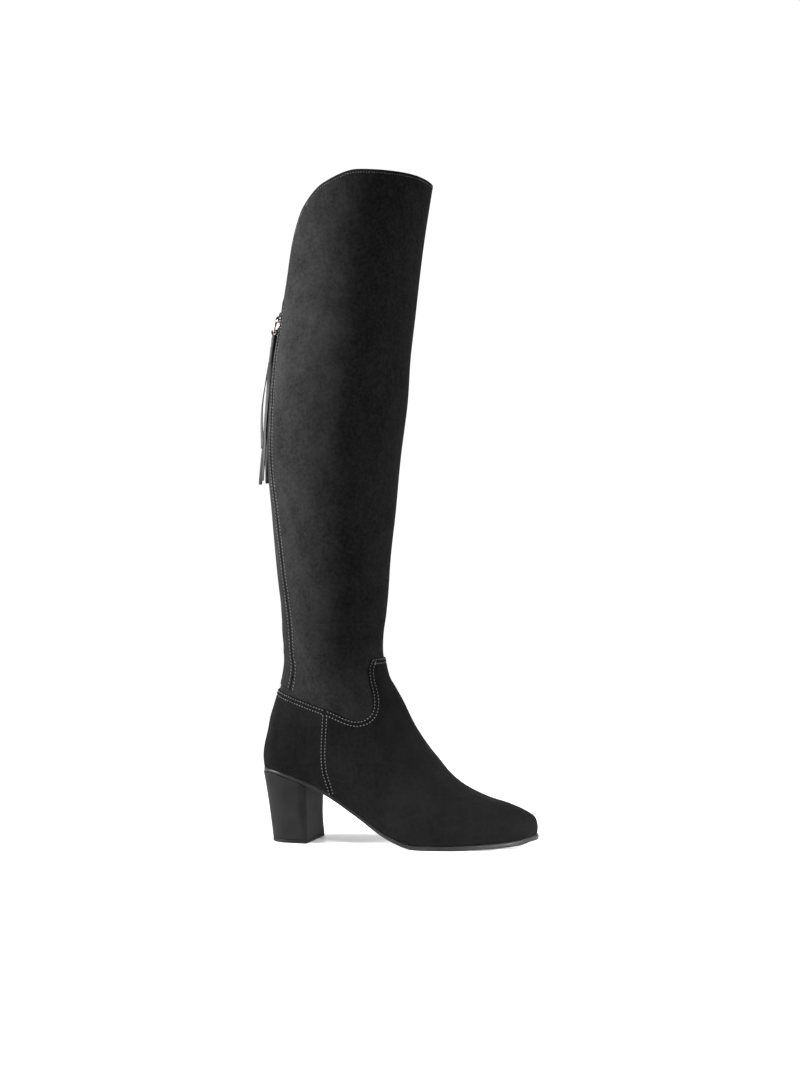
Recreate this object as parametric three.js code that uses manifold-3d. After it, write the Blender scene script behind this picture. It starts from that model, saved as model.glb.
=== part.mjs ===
// Thigh high boot with a block heel, for the right foot.
// Millimetres: +X to the toe, +Y to the inner side of the leg, +Z up.
// The origin is in the middle of the heel's bottom face, on the ground.

import * as THREE from "three";
import { mergeVertices } from "three/addons/utils/BufferGeometryUtils.js";
import Module from "manifold-3d";

// Foot: lengths, heights and widths of the upper's wall
const LENGTH = 243.1;          // back of the heel to the toe tip
const HEEL_SETBACK = 26.4;     // back of the seat to the middle of the heel's bottom
const BALL_WIDTH = 78;
const INSTEP_RISE = 134;       // toe tip up to the front of the ankle
const SEAT_HEIGHT = 61.8;      // underside of the sole at the back of the seat
const TOE_SPRING = 6;          // underside of the sole at the toe tip
const FOOT_SWING = 6;          // how far the toe tip turns to the inner side

// Shaft
const BOOT_HEIGHT = 584;
const ANKLE_HEIGHT = 159;      // middle of the ankle's slanted section
const ANKLE_TILT = 22;         // its back stands this much higher than its front
const ANKLE_DEPTH = 91.6;
const ANKLE_WIDTH = 76;
const CALF_DEPTH = 123.2;
const CALF_WIDTH = 113;
const COLLAR_DEPTH = 127.6;
const COLLAR_WIDTH = 121;
const SHAFT_LEAN = 25;         // forward lean of the collar over the ankle
const HEEL_INSET = 17.1;       // back of the ankle, ahead of the back of the seat
const COLLAR_DIP = 112;        // how far the collar drops at the back
const FRONT_DIP = 3;           // and at the front

// Walls, overlays and clearances
const WALL = 1.8;
const CLEARANCE = 0.3;
const OVERLAY = 1.1;
const STRIP = 0.7;
const STRIP_WIDTH = 58;        // back strip, where it is widest

// Sole, heel and insole
const WAIST_SOLE = 3.4;        // sole thickness under the seat and the waist
const TOE_SOLE = 4.8;          // sole thickness under the toe
const SOLE_MARGIN = 1.4;       // how far the sole's edge stands proud of the vamp
const SEAT_MARGIN = 0.3;       // and of the counter
const SOLE_ROUND = 0.8;        // rounding of the sole's lower edge
const INSOLE = 2;
const HEEL_BOTTOM_LENGTH = 38;
const HEEL_BOTTOM_WIDTH = 51;
const HEEL_TOP_LENGTH = 46.5;
const HEEL_TOP_WIDTH = 60;
const HEEL_HOLLOW = 0.5;       // how deep the back and the breast curve in
const HEEL_CORNER = 6.5;       // rounding between the sides and the breast
const HEEL_TURN = 3.5;         // degrees that the heel points to the outer side
const HEEL_TIP = 2.8;
const TIP_ROUND = 0.5;

// Ring and tassel
const RING_DIAMETER = 14.6;
const RING_WIRE = 2.2;
const RING_TILT = 20;          // degrees that the ring hangs away from the boot
const KEEPER = 1.1;            // strap thickness of the keeper and of the tassel's loop
const KEEPER_WIDTH = 4.4;
const KEEPER_DROP = 6;         // from the collar's lowest point to the wire in the keeper
const EYE_PLAY = 0.75;         // room round the wire in its loop
const HEAD_DIAMETER = 5;
const HEAD_LENGTH = 26;
const TASSEL_LEAN = 3.5;       // how far the head's foot hangs out from its top
const STRIP_LENGTH = 112;
const TASSEL_SPREAD = 9;
const TASSEL_WIDTH = 3.6;      // of one strip
const STRIP_THICK = 1.1;

// Numbers of rings' points and of steps, which set only the fineness
const AROUND = 40;
const END_CROWD = 0.12;        // draws a ring's points from its sides to its ends
const REAR_X = -HEEL_SETBACK;
const TIP_X = REAR_X + LENGTH;
const ANKLE_BACK_X = REAR_X + HEEL_INSET;
const ANKLE_FRONT_X = ANKLE_BACK_X + ANKLE_DEPTH;
const SHAFT_RISE = BOOT_HEIGHT - ANKLE_HEIGHT;

const wasm = await Module();
wasm.setup();

// Tables: a first row of column names, then one row for each section

function table(names, rows) {
  const columns = names.split(" ");
  return rows.map((row) => Object.fromEntries(columns.map((name, i) => [name, row[i]])));
}

const lerp = (a, b, share) => a + (b - a) * share;
const clamp = (value, low, high) => Math.min(Math.max(value, low), high);

// A smooth curve through a table's column. With level ends and no overshoot where even is true.
function curve(rows, key, column, even = false) {
  const at = rows.map((row) => row[key]);
  const value = rows.map((row) => row[column]);
  const last = at.length - 1;
  const slope = at.slice(1).map((x, i) => (value[i + 1] - value[i]) / (x - at[i]));
  const tangent = at.map((x, i) => {
    if (i === 0) return even ? 0 : slope[0];
    if (i === last) return even ? 0 : slope[last - 1];
    const before = x - at[i - 1];
    const after = at[i + 1] - x;
    if (even && slope[i - 1] * slope[i] <= 0) return 0;
    if (even) return (before + after) / (before / slope[i] + after / slope[i - 1]);
    return (slope[i - 1] * after + slope[i] * before) / (before + after);
  });
  return (x) => {
    const place = clamp(x, at[0], at[last]);
    let i = 0;
    while (i < last - 1 && place > at[i + 1]) i += 1;
    const span = at[i + 1] - at[i];
    const t = (place - at[i]) / span;
    const rise = value[i + 1] - value[i];
    return value[i] + span * tangent[i] * t * (1 - t) ** 2 - span * tangent[i + 1] * t * t * (1 - t)
      + rise * t * t * (3 - 2 * t);
  };
}

// Underside of the sole, from the back of the seat (0) to the toe tip (1):
// rise is a share of SEAT_HEIGHT, spring of TOE_SPRING, full says how much of it has the toe's thickness

const SOLE_LINE = table("at rise spring full", [
  [0.000, 1.000, 0.00, 0.0],
  [0.048, 0.990, 0.00, 0.0],
  [0.090, 0.954, 0.00, 0.0],
  [0.140, 0.895, 0.00, 0.0],
  [0.187, 0.832, 0.00, 0.0],
  [0.249, 0.715, 0.00, 0.0],
  [0.295, 0.609, 0.00, 0.0],
  [0.345, 0.480, 0.00, 0.06],
  [0.396, 0.350, 0.00, 0.12],
  [0.454, 0.198, 0.00, 0.24],
  [0.516, 0.078, 0.00, 0.42],
  [0.563, 0.018, 0.00, 0.54],
  [0.588, 0.000, 0.00, 0.58],
  [0.690, 0.000, 0.00, 0.58],
  [0.797, 0.000, 0.13, 0.62],
  [0.876, 0.000, 0.28, 0.72],
  [0.952, 0.000, 0.55, 0.88],
  [1.000, 0.000, 1.00, 1.0],
]);
const soleRise = curve(SOLE_LINE, "at", "rise", true);
const soleSpring = curve(SOLE_LINE, "at", "spring", true);
const soleFull = curve(SOLE_LINE, "at", "full", true);
const alongFoot = (x) => clamp((x - REAR_X) / LENGTH, 0, 1);
const underSole = (x) => SEAT_HEIGHT * soleRise(alongFoot(x)) + TOE_SPRING * soleSpring(alongFoot(x));
const soleThickness = (x) => lerp(WAIST_SOLE, TOE_SOLE, soleFull(alongFoot(x)));
const featherLine = (x) => underSole(x) + soleThickness(x);

// Rings of the foot, from the feather line (level 0) to the ankle (level 1), each seen from the side as a
// line from its back to its front point.
// back_x: share of HEEL_INSET ahead of the seat's back; back_z: share of the way from the seat to the ankle;
// front_x: share of the way from the ankle's front to the toe tip; front_z: share of INSTEP_RISE over the tip;
// heel, waist, ball, toe: half widths, as shares of half the ball width; back_round, front_round: how blunt
// the ring's ends are (2 is an ellipse)

const FOOT_RINGS = table("level back_x back_z front_x front_z heel waist ball toe back_round front_round", [
  [0.00, 0.00, 0.000, 0.995, 0.000, 0.765, 0.682, 1.013, 0.918, 8.0, 3.0],
  [0.07, -0.05, 0.063, 1.000, 0.051, 0.785, 0.718, 1.018, 0.908, 7.8, 3.0],
  [0.14, -0.05, 0.125, 0.986, 0.101, 0.800, 0.750, 1.022, 0.890, 7.5, 3.0],
  [0.22, 0.01, 0.197, 0.938, 0.136, 0.800, 0.795, 1.000, 0.885, 7.0, 3.0],
  [0.32, 0.16, 0.302, 0.833, 0.180, 0.782, 0.846, 0.928, 0.885, 6.4, 3.0],
  [0.43, 0.31, 0.426, 0.679, 0.224, 0.795, 0.877, 0.897, 0.897, 5.4, 3.2],
  [0.55, 0.56, 0.560, 0.498, 0.314, 0.810, 0.897, 0.872, 0.923, 4.4, 3.3],
  [0.67, 0.77, 0.684, 0.340, 0.476, 0.805, 0.913, 0.887, 0.885, 3.6, 3.0],
  [0.79, 0.93, 0.799, 0.199, 0.672, 0.795, 0.923, 0.913, 0.830, 3.0, 2.6],
  [0.90, 1.01, 0.900, 0.102, 0.861, 0.795, 0.938, 0.938, 0.846, 2.6, 2.4],
  [0.95, 1.01, 0.950, 0.060, 0.933, 0.800, 0.965, 0.965, 0.863, 2.45, 2.35],
]);

// Rings of the shaft, from the ankle (level 1) to the collar (level 2), up as a share of SHAFT_RISE.
// tilt: share of ANKLE_TILT; calf: how far the shaft has grown from the ankle's to the calf's size;
// thigh: how far from the calf's to the collar's; lean: share of SHAFT_LEAN; narrow_back, narrow_front:
// how much slimmer the ring is near its ends; back_round, front_round: as above

const SHAFT_RINGS = table("up tilt calf thigh lean narrow_back narrow_front back_round front_round", [
  [0.000, 1.00, 0.06, 0.00, 0.025, 0.18, 0.11, 2.3, 2.3],
  [0.050, 0.62, -0.03, 0.00, -0.080, 0.12, 0.07, 2.2, 2.2],
  [0.103, 0.25, 0.08, 0.00, -0.040, 0.06, 0.03, 2.1, 2.1],
  [0.160, 0.00, 0.23, 0.00, -0.030, 0.02, 0.00, 2.0, 2.0],
  [0.225, 0.00, 0.37, 0.00, -0.050, 0.00, 0.00, 2.0, 2.0],
  [0.310, 0.00, 0.60, 0.00, -0.035, 0.00, 0.00, 2.0, 2.0],
  [0.430, 0.00, 0.87, 0.00, -0.015, 0.00, 0.00, 2.0, 2.0],
  [0.550, 0.00, 1.01, 0.00, 0.155, 0.00, 0.00, 2.0, 2.0],
  [0.640, 0.00, 0.965, 0.00, 0.290, 0.00, 0.00, 2.0, 2.0],
  [0.720, 0.00, 0.885, 0.05, 0.490, 0.00, 0.00, 2.0, 2.0],
  [0.800, 0.00, 0.825, 0.30, 0.635, 0.00, 0.00, 2.0, 2.0],
  [0.900, 0.00, 0.82, 0.65, 0.790, 0.00, 0.00, 2.0, 2.0],
  [1.000, 0.00, 0.82, 1.00, 0.985, 0.00, 0.00, 2.0, 2.0],
]);

function footRing(row) {
  const half = BALL_WIDTH / 2;
  const ankleBack = ANKLE_HEIGHT + ANKLE_TILT / 2;
  return {
    ...row,
    back_x: REAR_X + HEEL_INSET * row.back_x,
    back_z: lerp(featherLine(REAR_X), ankleBack, row.back_z),
    front_x: lerp(ANKLE_FRONT_X, TIP_X, row.front_x),
    front_z: featherLine(TIP_X) + INSTEP_RISE * row.front_z,
    heel: half * row.heel,
    waist: half * row.waist,
    ball: half * row.ball,
    toe: half * row.toe,
  };
}

function shaftRing(row) {
  const depth = lerp(lerp(ANKLE_DEPTH, CALF_DEPTH, row.calf), COLLAR_DEPTH, row.thigh);
  const width = lerp(lerp(ANKLE_WIDTH, CALF_WIDTH, row.calf), COLLAR_WIDTH, row.thigh);
  const middle = (ANKLE_BACK_X + ANKLE_FRONT_X) / 2 + SHAFT_LEAN * row.lean;
  const height = ANKLE_HEIGHT + SHAFT_RISE * row.up;
  return {
    ...row,
    level: 1 + row.up,
    back_x: middle - depth / 2,
    back_z: height + ANKLE_TILT * row.tilt / 2,
    front_x: middle + depth / 2,
    front_z: height - ANKLE_TILT * row.tilt / 2,
    heel: width / 2 * (1 - row.narrow_back),
    waist: width / 2,
    ball: width / 2,
    toe: width / 2 * (1 - row.narrow_front),
  };
}

const RINGS = [...FOOT_RINGS.map(footRing), ...SHAFT_RINGS.map(shaftRing)];
const RING_KEYS = ["back_x", "back_z", "front_x", "front_z", "heel", "waist", "ball", "toe",
  "back_round", "front_round"];
const ringCurves = RING_KEYS.map((key) => curve(RINGS, "level", key));
const ringStore = new Map();

function ringAt(level) {
  if (!ringStore.has(level)) {
    const ring = Object.fromEntries(RING_KEYS.map((key, i) => [key, ringCurves[i](level)]));
    const stations = [["at", "half"], [0, ring.heel], [0.1, ring.heel], [0.35, ring.waist],
      [0.65, ring.ball], [0.9, ring.toe], [1, ring.toe]];
    ring.half = curve(stations.slice(1).map(([at, half]) => ({ at, half })), "at", "half");
    ringStore.set(level, ring);
  }
  return ringStore.get(level);
}

// The foot's middle line swings: to the outer side at the waist, to the inner side at the toe
const SWING_LINE = table("at swing", [[0, 0], [0.12, -0.05], [0.38, -0.5], [0.65, -0.25], [0.88, 0.45], [1, 1]]);
const swingAt = curve(SWING_LINE, "at", "swing");
const sagAt = (share) => {
  const first = ringAt(0);
  const x = lerp(first.back_x, first.front_x, share);
  return featherLine(x) - lerp(first.back_z, first.front_z, share);
};

// A point of the last: angle 0 is the back, half a turn is the front, by way of the outer side
function lastPoint(level, angle) {
  const ring = ringAt(level);
  const turn = Math.cos(angle);
  const share = (1 - turn) / 2;
  const fade = clamp(1 - level, 0, 1);
  const round = turn > 0 ? ring.back_round : ring.front_round;
  const end = 1 - turn * turn;
  const blunt = end > 1e-9 ? (1 - Math.abs(turn) ** round) / end : round / 2;
  const x = lerp(ring.back_x, ring.front_x, share);
  const y = FOOT_SWING * swingAt(share) * fade - Math.sin(angle) * ring.half(share) * Math.sqrt(blunt);
  const z = lerp(ring.back_z, ring.front_z, share) + sagAt(share) * fade ** 1.6;
  return new THREE.Vector3(x, y, z);
}

// The collar's line: rings above DIP_START sink a long way at the back and a little at the front.
// from_back: share of the half turn from the back to the front; back: share of COLLAR_DIP; front: of FRONT_DIP
const DIP_START = 1.5;
const COLLAR_LINE = table("from_back back front", [
  [0.00, 1.00, 0.0],
  [0.07, 0.98, 0.0],
  [0.14, 0.85, 0.0],
  [0.22, 0.49, 0.0],
  [0.30, 0.24, 0.0],
  [0.41, 0.082, 0.0],
  [0.56, 0.00, 0.0],
  [0.78, 0.00, 0.3],
  [1.00, 0.00, 1.0],
]);
const backDip = curve(COLLAR_LINE, "from_back", "back", true);
const frontDip = curve(COLLAR_LINE, "from_back", "front", true);
function levelAt(level, angle) {
  if (level <= DIP_START) return level;
  const fromBack = Math.min(angle, 2 * Math.PI - angle) / Math.PI;
  const dip = COLLAR_DIP * backDip(fromBack) + FRONT_DIP * frontDip(fromBack);
  return DIP_START + (level - DIP_START) * (1 - dip / SHAFT_RISE / (2 - DIP_START));
}

// The last's surface, moved out by a distance. The lowest ring moves out level with the ground,
// and stays on the feather line.
function offsetPoint(level, angle, out) {
  const low = Math.max(level - 0.004, 0);
  const high = Math.min(level + 0.004, 2);
  const turn = 0.02;
  const up = lastPoint(high, angle).sub(lastPoint(low, angle));
  const round = lastPoint(level, angle + turn).sub(lastPoint(level, angle - turn));
  const normal = round.cross(up).normalize();
  if (level <= 0) normal.setZ(0).normalize();
  const point = lastPoint(level, angle).addScaledVector(normal, out);
  if (level <= 0) point.z = featherLine(point.x);
  return point;
}

const ringAngles = Array.from({ length: AROUND }, (_, i) => 2 * Math.PI * i / AROUND)
  .map((angle) => angle - END_CROWD * Math.sin(2 * angle));
const ringPoints = (level, out) => ringAngles.map((angle) => offsetPoint(levelAt(level, angle), angle, out));

// Levels of the rings in the solids
const FOOT_LEVELS = [0, 0.06, 0.12, 0.18, 0.26, 0.34, 0.42, 0.5, 0.57, 0.64, 0.71, 0.78, 0.85, 0.93];
const SHAFT_LEVELS = [1, 1.05, 1.1, 1.16, 1.23, 1.31, 1.4, 1.5, 1.59, 1.68, 1.77, 1.86, 1.93, 2];
const LEVELS = [...FOOT_LEVELS, ...SHAFT_LEVELS];

// Meshes and solids

function geometryFrom(points, triangles) {
  const geometry = new THREE.BufferGeometry();
  geometry.setAttribute("position", new THREE.Float32BufferAttribute(points.flatMap((p) => [p.x, p.y, p.z]), 3));
  geometry.setIndex(triangles);
  return geometry;
}

// A grid of rings, closed around; closed end to end too where loop is true, else with flat caps.
// The second half of the rings is split along the other diagonal, so that a shell's two faces run alike.
function ringsGeometry(rings, loop) {
  const around = rings[0].length;
  const triangles = [];
  const count = loop ? rings.length : rings.length - 1;
  for (let r = 0; r < count; r += 1) {
    const next = (r + 1) % rings.length;
    for (let i = 0; i < around; i += 1) {
      const j = (i + 1) % around;
      const a = r * around + i;
      const b = r * around + j;
      const c = next * around + i;
      const d = next * around + j;
      if (r < count / 2) triangles.push(a, b, c, b, d, c);
      else triangles.push(a, b, d, a, d, c);
    }
  }
  if (!loop) {
    const top = (rings.length - 1) * around;
    for (const [start, flip] of [[0, true], [top, false]]) {
      for (let i = 0; i < around / 2; i += 1) {
        const left = start + i;
        const nextLeft = start + i + 1;
        const right = start + (around - i) % around;
        const nextRight = start + around - i - 1;
        const faces = [[left, nextLeft, nextRight], [left, nextRight, right]];
        for (const face of faces) {
          if (new Set(face).size === 3) triangles.push(...(flip ? face.reverse() : face));
        }
      }
    }
  }
  return geometryFrom(rings.flat(), triangles);
}

function solidFrom(geometry) {
  const bare = geometry.clone();
  bare.deleteAttribute("normal");
  bare.deleteAttribute("uv");
  const merged = mergeVertices(bare);
  return new wasm.Manifold(new wasm.Mesh({
    numProp: 3,
    vertProperties: new Float32Array(merged.attributes.position.array),
    triVerts: new Uint32Array(merged.index.array),
  }));
}

function geometryOf(solid) {
  const mesh = solid.getMesh();
  const geometry = new THREE.BufferGeometry();
  geometry.setAttribute("position", new THREE.BufferAttribute(new Float32Array(mesh.vertProperties), 3));
  geometry.setIndex(new THREE.BufferAttribute(new Uint32Array(mesh.triVerts), 1));
  return geometry;
}

// A shell of the last between two distances from its surface
function shellRings(inner, outer, levels) {
  const outside = levels.map((level) => ringPoints(level, outer));
  const inside = levels.map((level) => ringPoints(level, inner)).reverse();
  return [...outside, ...inside];
}

// A block with a side-view outline, wide enough for the whole boot
function sideBlock(outline) {
  const shape = new THREE.Shape(outline.map(([x, z]) => new THREE.Vector2(x, z)));
  const geometry = new THREE.ExtrudeGeometry(shape, { depth: 2 * COLLAR_WIDTH, bevelEnabled: false });
  geometry.rotateX(Math.PI / 2);
  geometry.translate(0, COLLAR_WIDTH, 0);
  return solidFrom(geometry);
}

const boot = new THREE.Group();
function addPiece(name, geometry, material) {
  const mesh = new THREE.Mesh(geometry, material);
  mesh.name = name;
  boot.add(mesh);
}

const suede = () => new THREE.MeshStandardMaterial({ color: 0x1c1c1e, roughness: 0.95, metalness: 0 });
const leather = () => new THREE.MeshStandardMaterial({ color: 0x141414, roughness: 0.4, metalness: 0 });

// Upper: one hollow wall from the feather line to the collar, with a rounded collar edge

function upperGeometry() {
  const rings = shellRings(-WALL, 0, LEVELS);
  const fold = ringPoints(2, -WALL / 2).map((point) => point.setZ(point.z + WALL / 2));
  rings.splice(LEVELS.length, 0, fold);
  return ringsGeometry(rings, true);
}
addPiece("upper", upperGeometry(), suede());

// Vamp, counter and back strip: cut from shells that lie a clearance over the wall

// The top edge of the vamp and the counter, from the back to the tab's corner.
// x: share of ANKLE_DEPTH ahead of the ankle's back; z: share of ANKLE_HEIGHT
const ANKLE_SEAM = table("x z", [
  [-0.45, 0.925],
  [-0.10, 0.858],
  [0.10, 0.822],
  [0.25, 0.797],
  [0.41, 0.770],
  [0.57, 0.742],
  [0.70, 0.710],
  [0.80, 0.694],
  [0.89, 0.702],
  [0.950, 0.735],
  [0.965, 0.785],
  [0.950, 0.845],
  [0.920, 0.905],
  [0.903, 0.965],
  [0.920, 1.012],
  [0.965, 1.030],
  [1.30, 1.034],
]);
// The seam between counter and vamp, downwards, in the same shares
const COUNTER_SEAM = table("x z", [
  [0.518, 0.80],
  [0.510, 0.70],
  [0.488, 0.52],
  [0.490, 0.42],
  [0.520, 0.35],
  [0.560, 0.27],
  [0.640, 0.10],
]);
const seamPlace = (row) => new THREE.Vector2(ANKLE_BACK_X + ANKLE_DEPTH * row.x, ANKLE_HEIGHT * row.z);
const seamLine = (rows, steps) => new THREE.SplineCurve(rows.map(seamPlace)).getPoints(rows.length * steps);
const ankleLine = seamLine(ANKLE_SEAM, 2);
const counterLine = seamLine(COUNTER_SEAM, 1);
const LOW_LEVELS = [...FOOT_LEVELS, ...SHAFT_LEVELS.filter((level) => level < 1.12)];
const OVERLAY_OUT = CLEARANCE + OVERLAY;

const footShell = solidFrom(ringsGeometry(shellRings(CLEARANCE, OVERLAY_OUT, LOW_LEVELS), true));
const farBack = -LENGTH;
const farFront = 2 * LENGTH;
const underneath = -BOOT_HEIGHT / 4;
const belowAnkleSeam = sideBlock([...ankleLine.map((p) => [p.x, p.y]),
  [farFront, ankleLine.at(-1).y], [farFront, underneath], [farBack, underneath], [farBack, ankleLine[0].y]]);
const behindCounterSeam = (gap) => sideBlock([...counterLine.map((p) => [p.x + gap, p.y]),
  [counterLine.at(-1).x + gap, underneath], [farBack, underneath], [farBack, BOOT_HEIGHT],
  [counterLine[0].x + gap, BOOT_HEIGHT]]);
const lowerPieces = footShell.intersect(belowAnkleSeam);
addPiece("counter", geometryOf(lowerPieces.intersect(behindCounterSeam(-CLEARANCE / 2))), suede());
addPiece("vamp", geometryOf(lowerPieces.subtract(behindCounterSeam(CLEARANCE / 2))), suede());

// Half width of the back strip, as shares of STRIP_WIDTH / 2, at shares of BOOT_HEIGHT
const STRIP_LINE = table("up half", [
  [0.18, 0.79],
  [0.29, 0.82],
  [0.36, 0.90],
  [0.43, 0.98],
  [0.53, 1.00],
  [0.65, 1.00],
  [0.72, 0.93],
  [0.78, 0.78],
  [0.86, 0.60],
]);
function backStrip() {
  const level = (z) => 1 + (z - ANKLE_HEIGHT) / SHAFT_RISE;
  const low = BOOT_HEIGHT * STRIP_LINE[0].up;
  const levels = [...LEVELS.filter((at) => at > level(low) - 0.3)];
  const shell = solidFrom(ringsGeometry(shellRings(CLEARANCE, CLEARANCE + STRIP, levels), true));
  const side = (sign) => STRIP_LINE.map((row) => [sign * row.half * STRIP_WIDTH / 2, BOOT_HEIGHT * row.up]);
  const outline = [...side(1), ...side(-1).reverse()].map(([y, z]) => new THREE.Vector2(y, z));
  const block = new THREE.ExtrudeGeometry(new THREE.Shape(outline), { depth: LENGTH, bevelEnabled: false });
  block.applyMatrix4(new THREE.Matrix4().makeBasis(
    new THREE.Vector3(0, 1, 0), new THREE.Vector3(0, 0, 1), new THREE.Vector3(1, 0, 0)));
  block.translate((ANKLE_BACK_X + ANKLE_FRONT_X) / 2 - LENGTH, 0, 0);
  const aboveSeam = sideBlock([...ankleLine.map((p) => [p.x, p.y + CLEARANCE]),
    [farFront, ankleLine.at(-1).y + CLEARANCE], [farFront, 2 * BOOT_HEIGHT], [farBack, 2 * BOOT_HEIGHT],
    [farBack, ankleLine[0].y + CLEARANCE]]);
  return shell.intersect(solidFrom(block)).intersect(aboveSeam);
}
addPiece("back_strip", geometryOf(backStrip()), suede());

// Outsole: the seat, the waist and the forefoot in one thin piece, proud of the upper at the ball and the toe

function soleRing(inset, up) {
  return ringAngles.map((angle) => {
    const place = lastPoint(0, angle);
    const margin = lerp(SEAT_MARGIN, SOLE_MARGIN, soleFull(alongFoot(place.x)));
    const point = offsetPoint(0, angle, OVERLAY_OUT + margin - inset);
    return point.setZ(underSole(point.x) + (soleThickness(point.x) - CLEARANCE) * up);
  });
}
const soleRings = [soleRing(SOLE_ROUND, 0), soleRing(0, 0.3), soleRing(0, 0.8), soleRing(SOLE_ROUND / 2, 1)];
addPiece("outsole", ringsGeometry(soleRings, false), leather());

// Height of the outsole's underside, along its facets
function soleFacet(x) {
  const line = soleRings[0].slice(0, AROUND / 2 + 1);
  const next = line.findIndex((point) => point.x > x);
  if (next <= 0) return line[0].z;
  const [low, high] = [line[next - 1], line[next]];
  return lerp(low.z, high.z, (x - low.x) / (high.x - low.x));
}

// Insole: inside the wall, on the outsole

function insoleRing(up) {
  return ringAngles.map((angle) => {
    const point = offsetPoint(0, angle, -WALL - CLEARANCE);
    return point.setZ(featherLine(point.x) + up);
  });
}
addPiece("insole", ringsGeometry([insoleRing(0), insoleRing(INSOLE)], false), leather());

// Heel: a block that narrows downwards, round at the back, with a straight breast and rounded front corners

const HEEL_ARC_STEPS = 8;
const CORNER_STEPS = 3;
function heelOutline(rear, front, width, corner) {
  const side = lerp(rear, front, 0.62);
  const half = width / 2;
  const points = [];
  for (let i = 0; i <= HEEL_ARC_STEPS; i += 1) {
    const turn = Math.PI / 2 * i / HEEL_ARC_STEPS;
    points.push([side - (side - rear) * Math.cos(turn) ** 0.92, half * Math.sin(turn) ** 0.92]);
  }
  for (let i = 0; i <= CORNER_STEPS; i += 1) {
    const turn = Math.PI / 2 * i / CORNER_STEPS;
    points.push([front - corner * (1 - Math.sin(turn)), half - corner * (1 - Math.cos(turn))]);
  }
  points.push([front, 0]);
  const innerSide = points.slice(1, -1).reverse();
  const outline = [...points.map(([x, y]) => new THREE.Vector2(x, -y)),
    ...innerSide.map(([x, y]) => new THREE.Vector2(x, y))];
  return outline.map((point) => point.rotateAround(new THREE.Vector2(0, 0), -THREE.MathUtils.degToRad(HEEL_TURN)));
}

const HEEL_BACK = REAR_X - OVERLAY_OUT - SEAT_MARGIN / 2;
function heelRing(up) {
  const hollow = HEEL_HOLLOW * 4 * up * (1 - up);
  const corner = HEEL_CORNER * lerp(0.25, 1, Math.sin(Math.PI / 2 * Math.min(2 * up, 1)));
  const rear = lerp(-HEEL_BOTTOM_LENGTH / 2, HEEL_BACK, up) + hollow;
  const front = lerp(HEEL_BOTTOM_LENGTH / 2, HEEL_BACK + HEEL_TOP_LENGTH, up) - hollow;
  const outline = heelOutline(rear, front, lerp(HEEL_BOTTOM_WIDTH, HEEL_TOP_WIDTH, up) - hollow, corner);
  const top = heelOutline(HEEL_BACK, HEEL_BACK + HEEL_TOP_LENGTH, HEEL_TOP_WIDTH, HEEL_CORNER);
  return outline.map((point, i) => new THREE.Vector3(
    point.x, point.y, lerp(HEEL_TIP + CLEARANCE, soleFacet(top[i].x) - CLEARANCE, up)));
}
const HEEL_RINGS = [0, 0.12, 0.28, 0.45, 0.62, 0.8, 1];
addPiece("heel", ringsGeometry(HEEL_RINGS.map(heelRing), false), leather());

function tipRing(inset, z) {
  const outline = heelOutline(-HEEL_BOTTOM_LENGTH / 2 + inset, HEEL_BOTTOM_LENGTH / 2 - inset,
    HEEL_BOTTOM_WIDTH - 2 * inset, HEEL_CORNER / 4);
  return outline.map((point) => new THREE.Vector3(point.x, point.y, z));
}
const heelTip = ringsGeometry([tipRing(TIP_ROUND, 0), tipRing(0, TIP_ROUND), tipRing(0, HEEL_TIP)], false);
addPiece("heel_tip", heelTip, new THREE.MeshStandardMaterial({ color: 0x0e0e0e, roughness: 0.7, metalness: 0 }));

// Ring at the back of the collar: a leather loop holds it, and the tassel hangs from it

const backAt = (z) => lastPoint(1 + (z - ANKLE_HEIGHT) / SHAFT_RISE, 0).x - CLEARANCE - STRIP;
const EYE_HOLE = RING_WIRE / 2 + EYE_PLAY;
const EYE_OUTER = EYE_HOLE + KEEPER;
const RING_TOP_Z = BOOT_HEIGHT - COLLAR_DIP - KEEPER_DROP;
const RING_TOP_X = backAt(RING_TOP_Z) - CLEARANCE - EYE_OUTER;
const ringTilt = THREE.MathUtils.degToRad(RING_TILT);
const alongRing = (distance) => new THREE.Vector3(
  RING_TOP_X - distance * Math.sin(ringTilt), 0, RING_TOP_Z - distance * Math.cos(ringTilt));
const ringBottom = alongRing(RING_DIAMETER - RING_WIRE);

const EYE_STEPS = 7;
// A loop of strap around the ring's wire, with its two ends laid together from its middle to the tip
function eyeGeometry(middle, tip) {
  const way = Math.atan2(tip.z - middle.z, tip.x - middle.x);
  const reach = Math.hypot(tip.x - middle.x, tip.z - middle.z);
  const shape = new THREE.Shape();
  const spread = Math.asin(Math.min(KEEPER / EYE_OUTER, 1));
  shape.absarc(0, 0, EYE_OUTER, spread, 2 * Math.PI - spread, false);
  shape.lineTo(reach, -KEEPER);
  shape.lineTo(reach, KEEPER);
  shape.closePath();
  const hole = new THREE.Path();
  hole.absarc(0, 0, EYE_HOLE, 0, 2 * Math.PI, true);
  shape.holes.push(hole);
  const eye = new THREE.ExtrudeGeometry(shape, { depth: KEEPER_WIDTH, bevelEnabled: false, curveSegments: EYE_STEPS });
  eye.translate(0, 0, -KEEPER_WIDTH / 2);
  eye.rotateX(Math.PI / 2);
  eye.rotateY(-way);
  eye.translate(middle.x, 0, middle.z);
  return eye;
}

const keeperTip = new THREE.Vector3(backAt(RING_TOP_Z + KEEPER_DROP) - CLEARANCE - KEEPER - 0.5, 0,
  RING_TOP_Z + KEEPER_DROP);
addPiece("ring_keeper", eyeGeometry(alongRing(0), keeperTip), leather());

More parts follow.
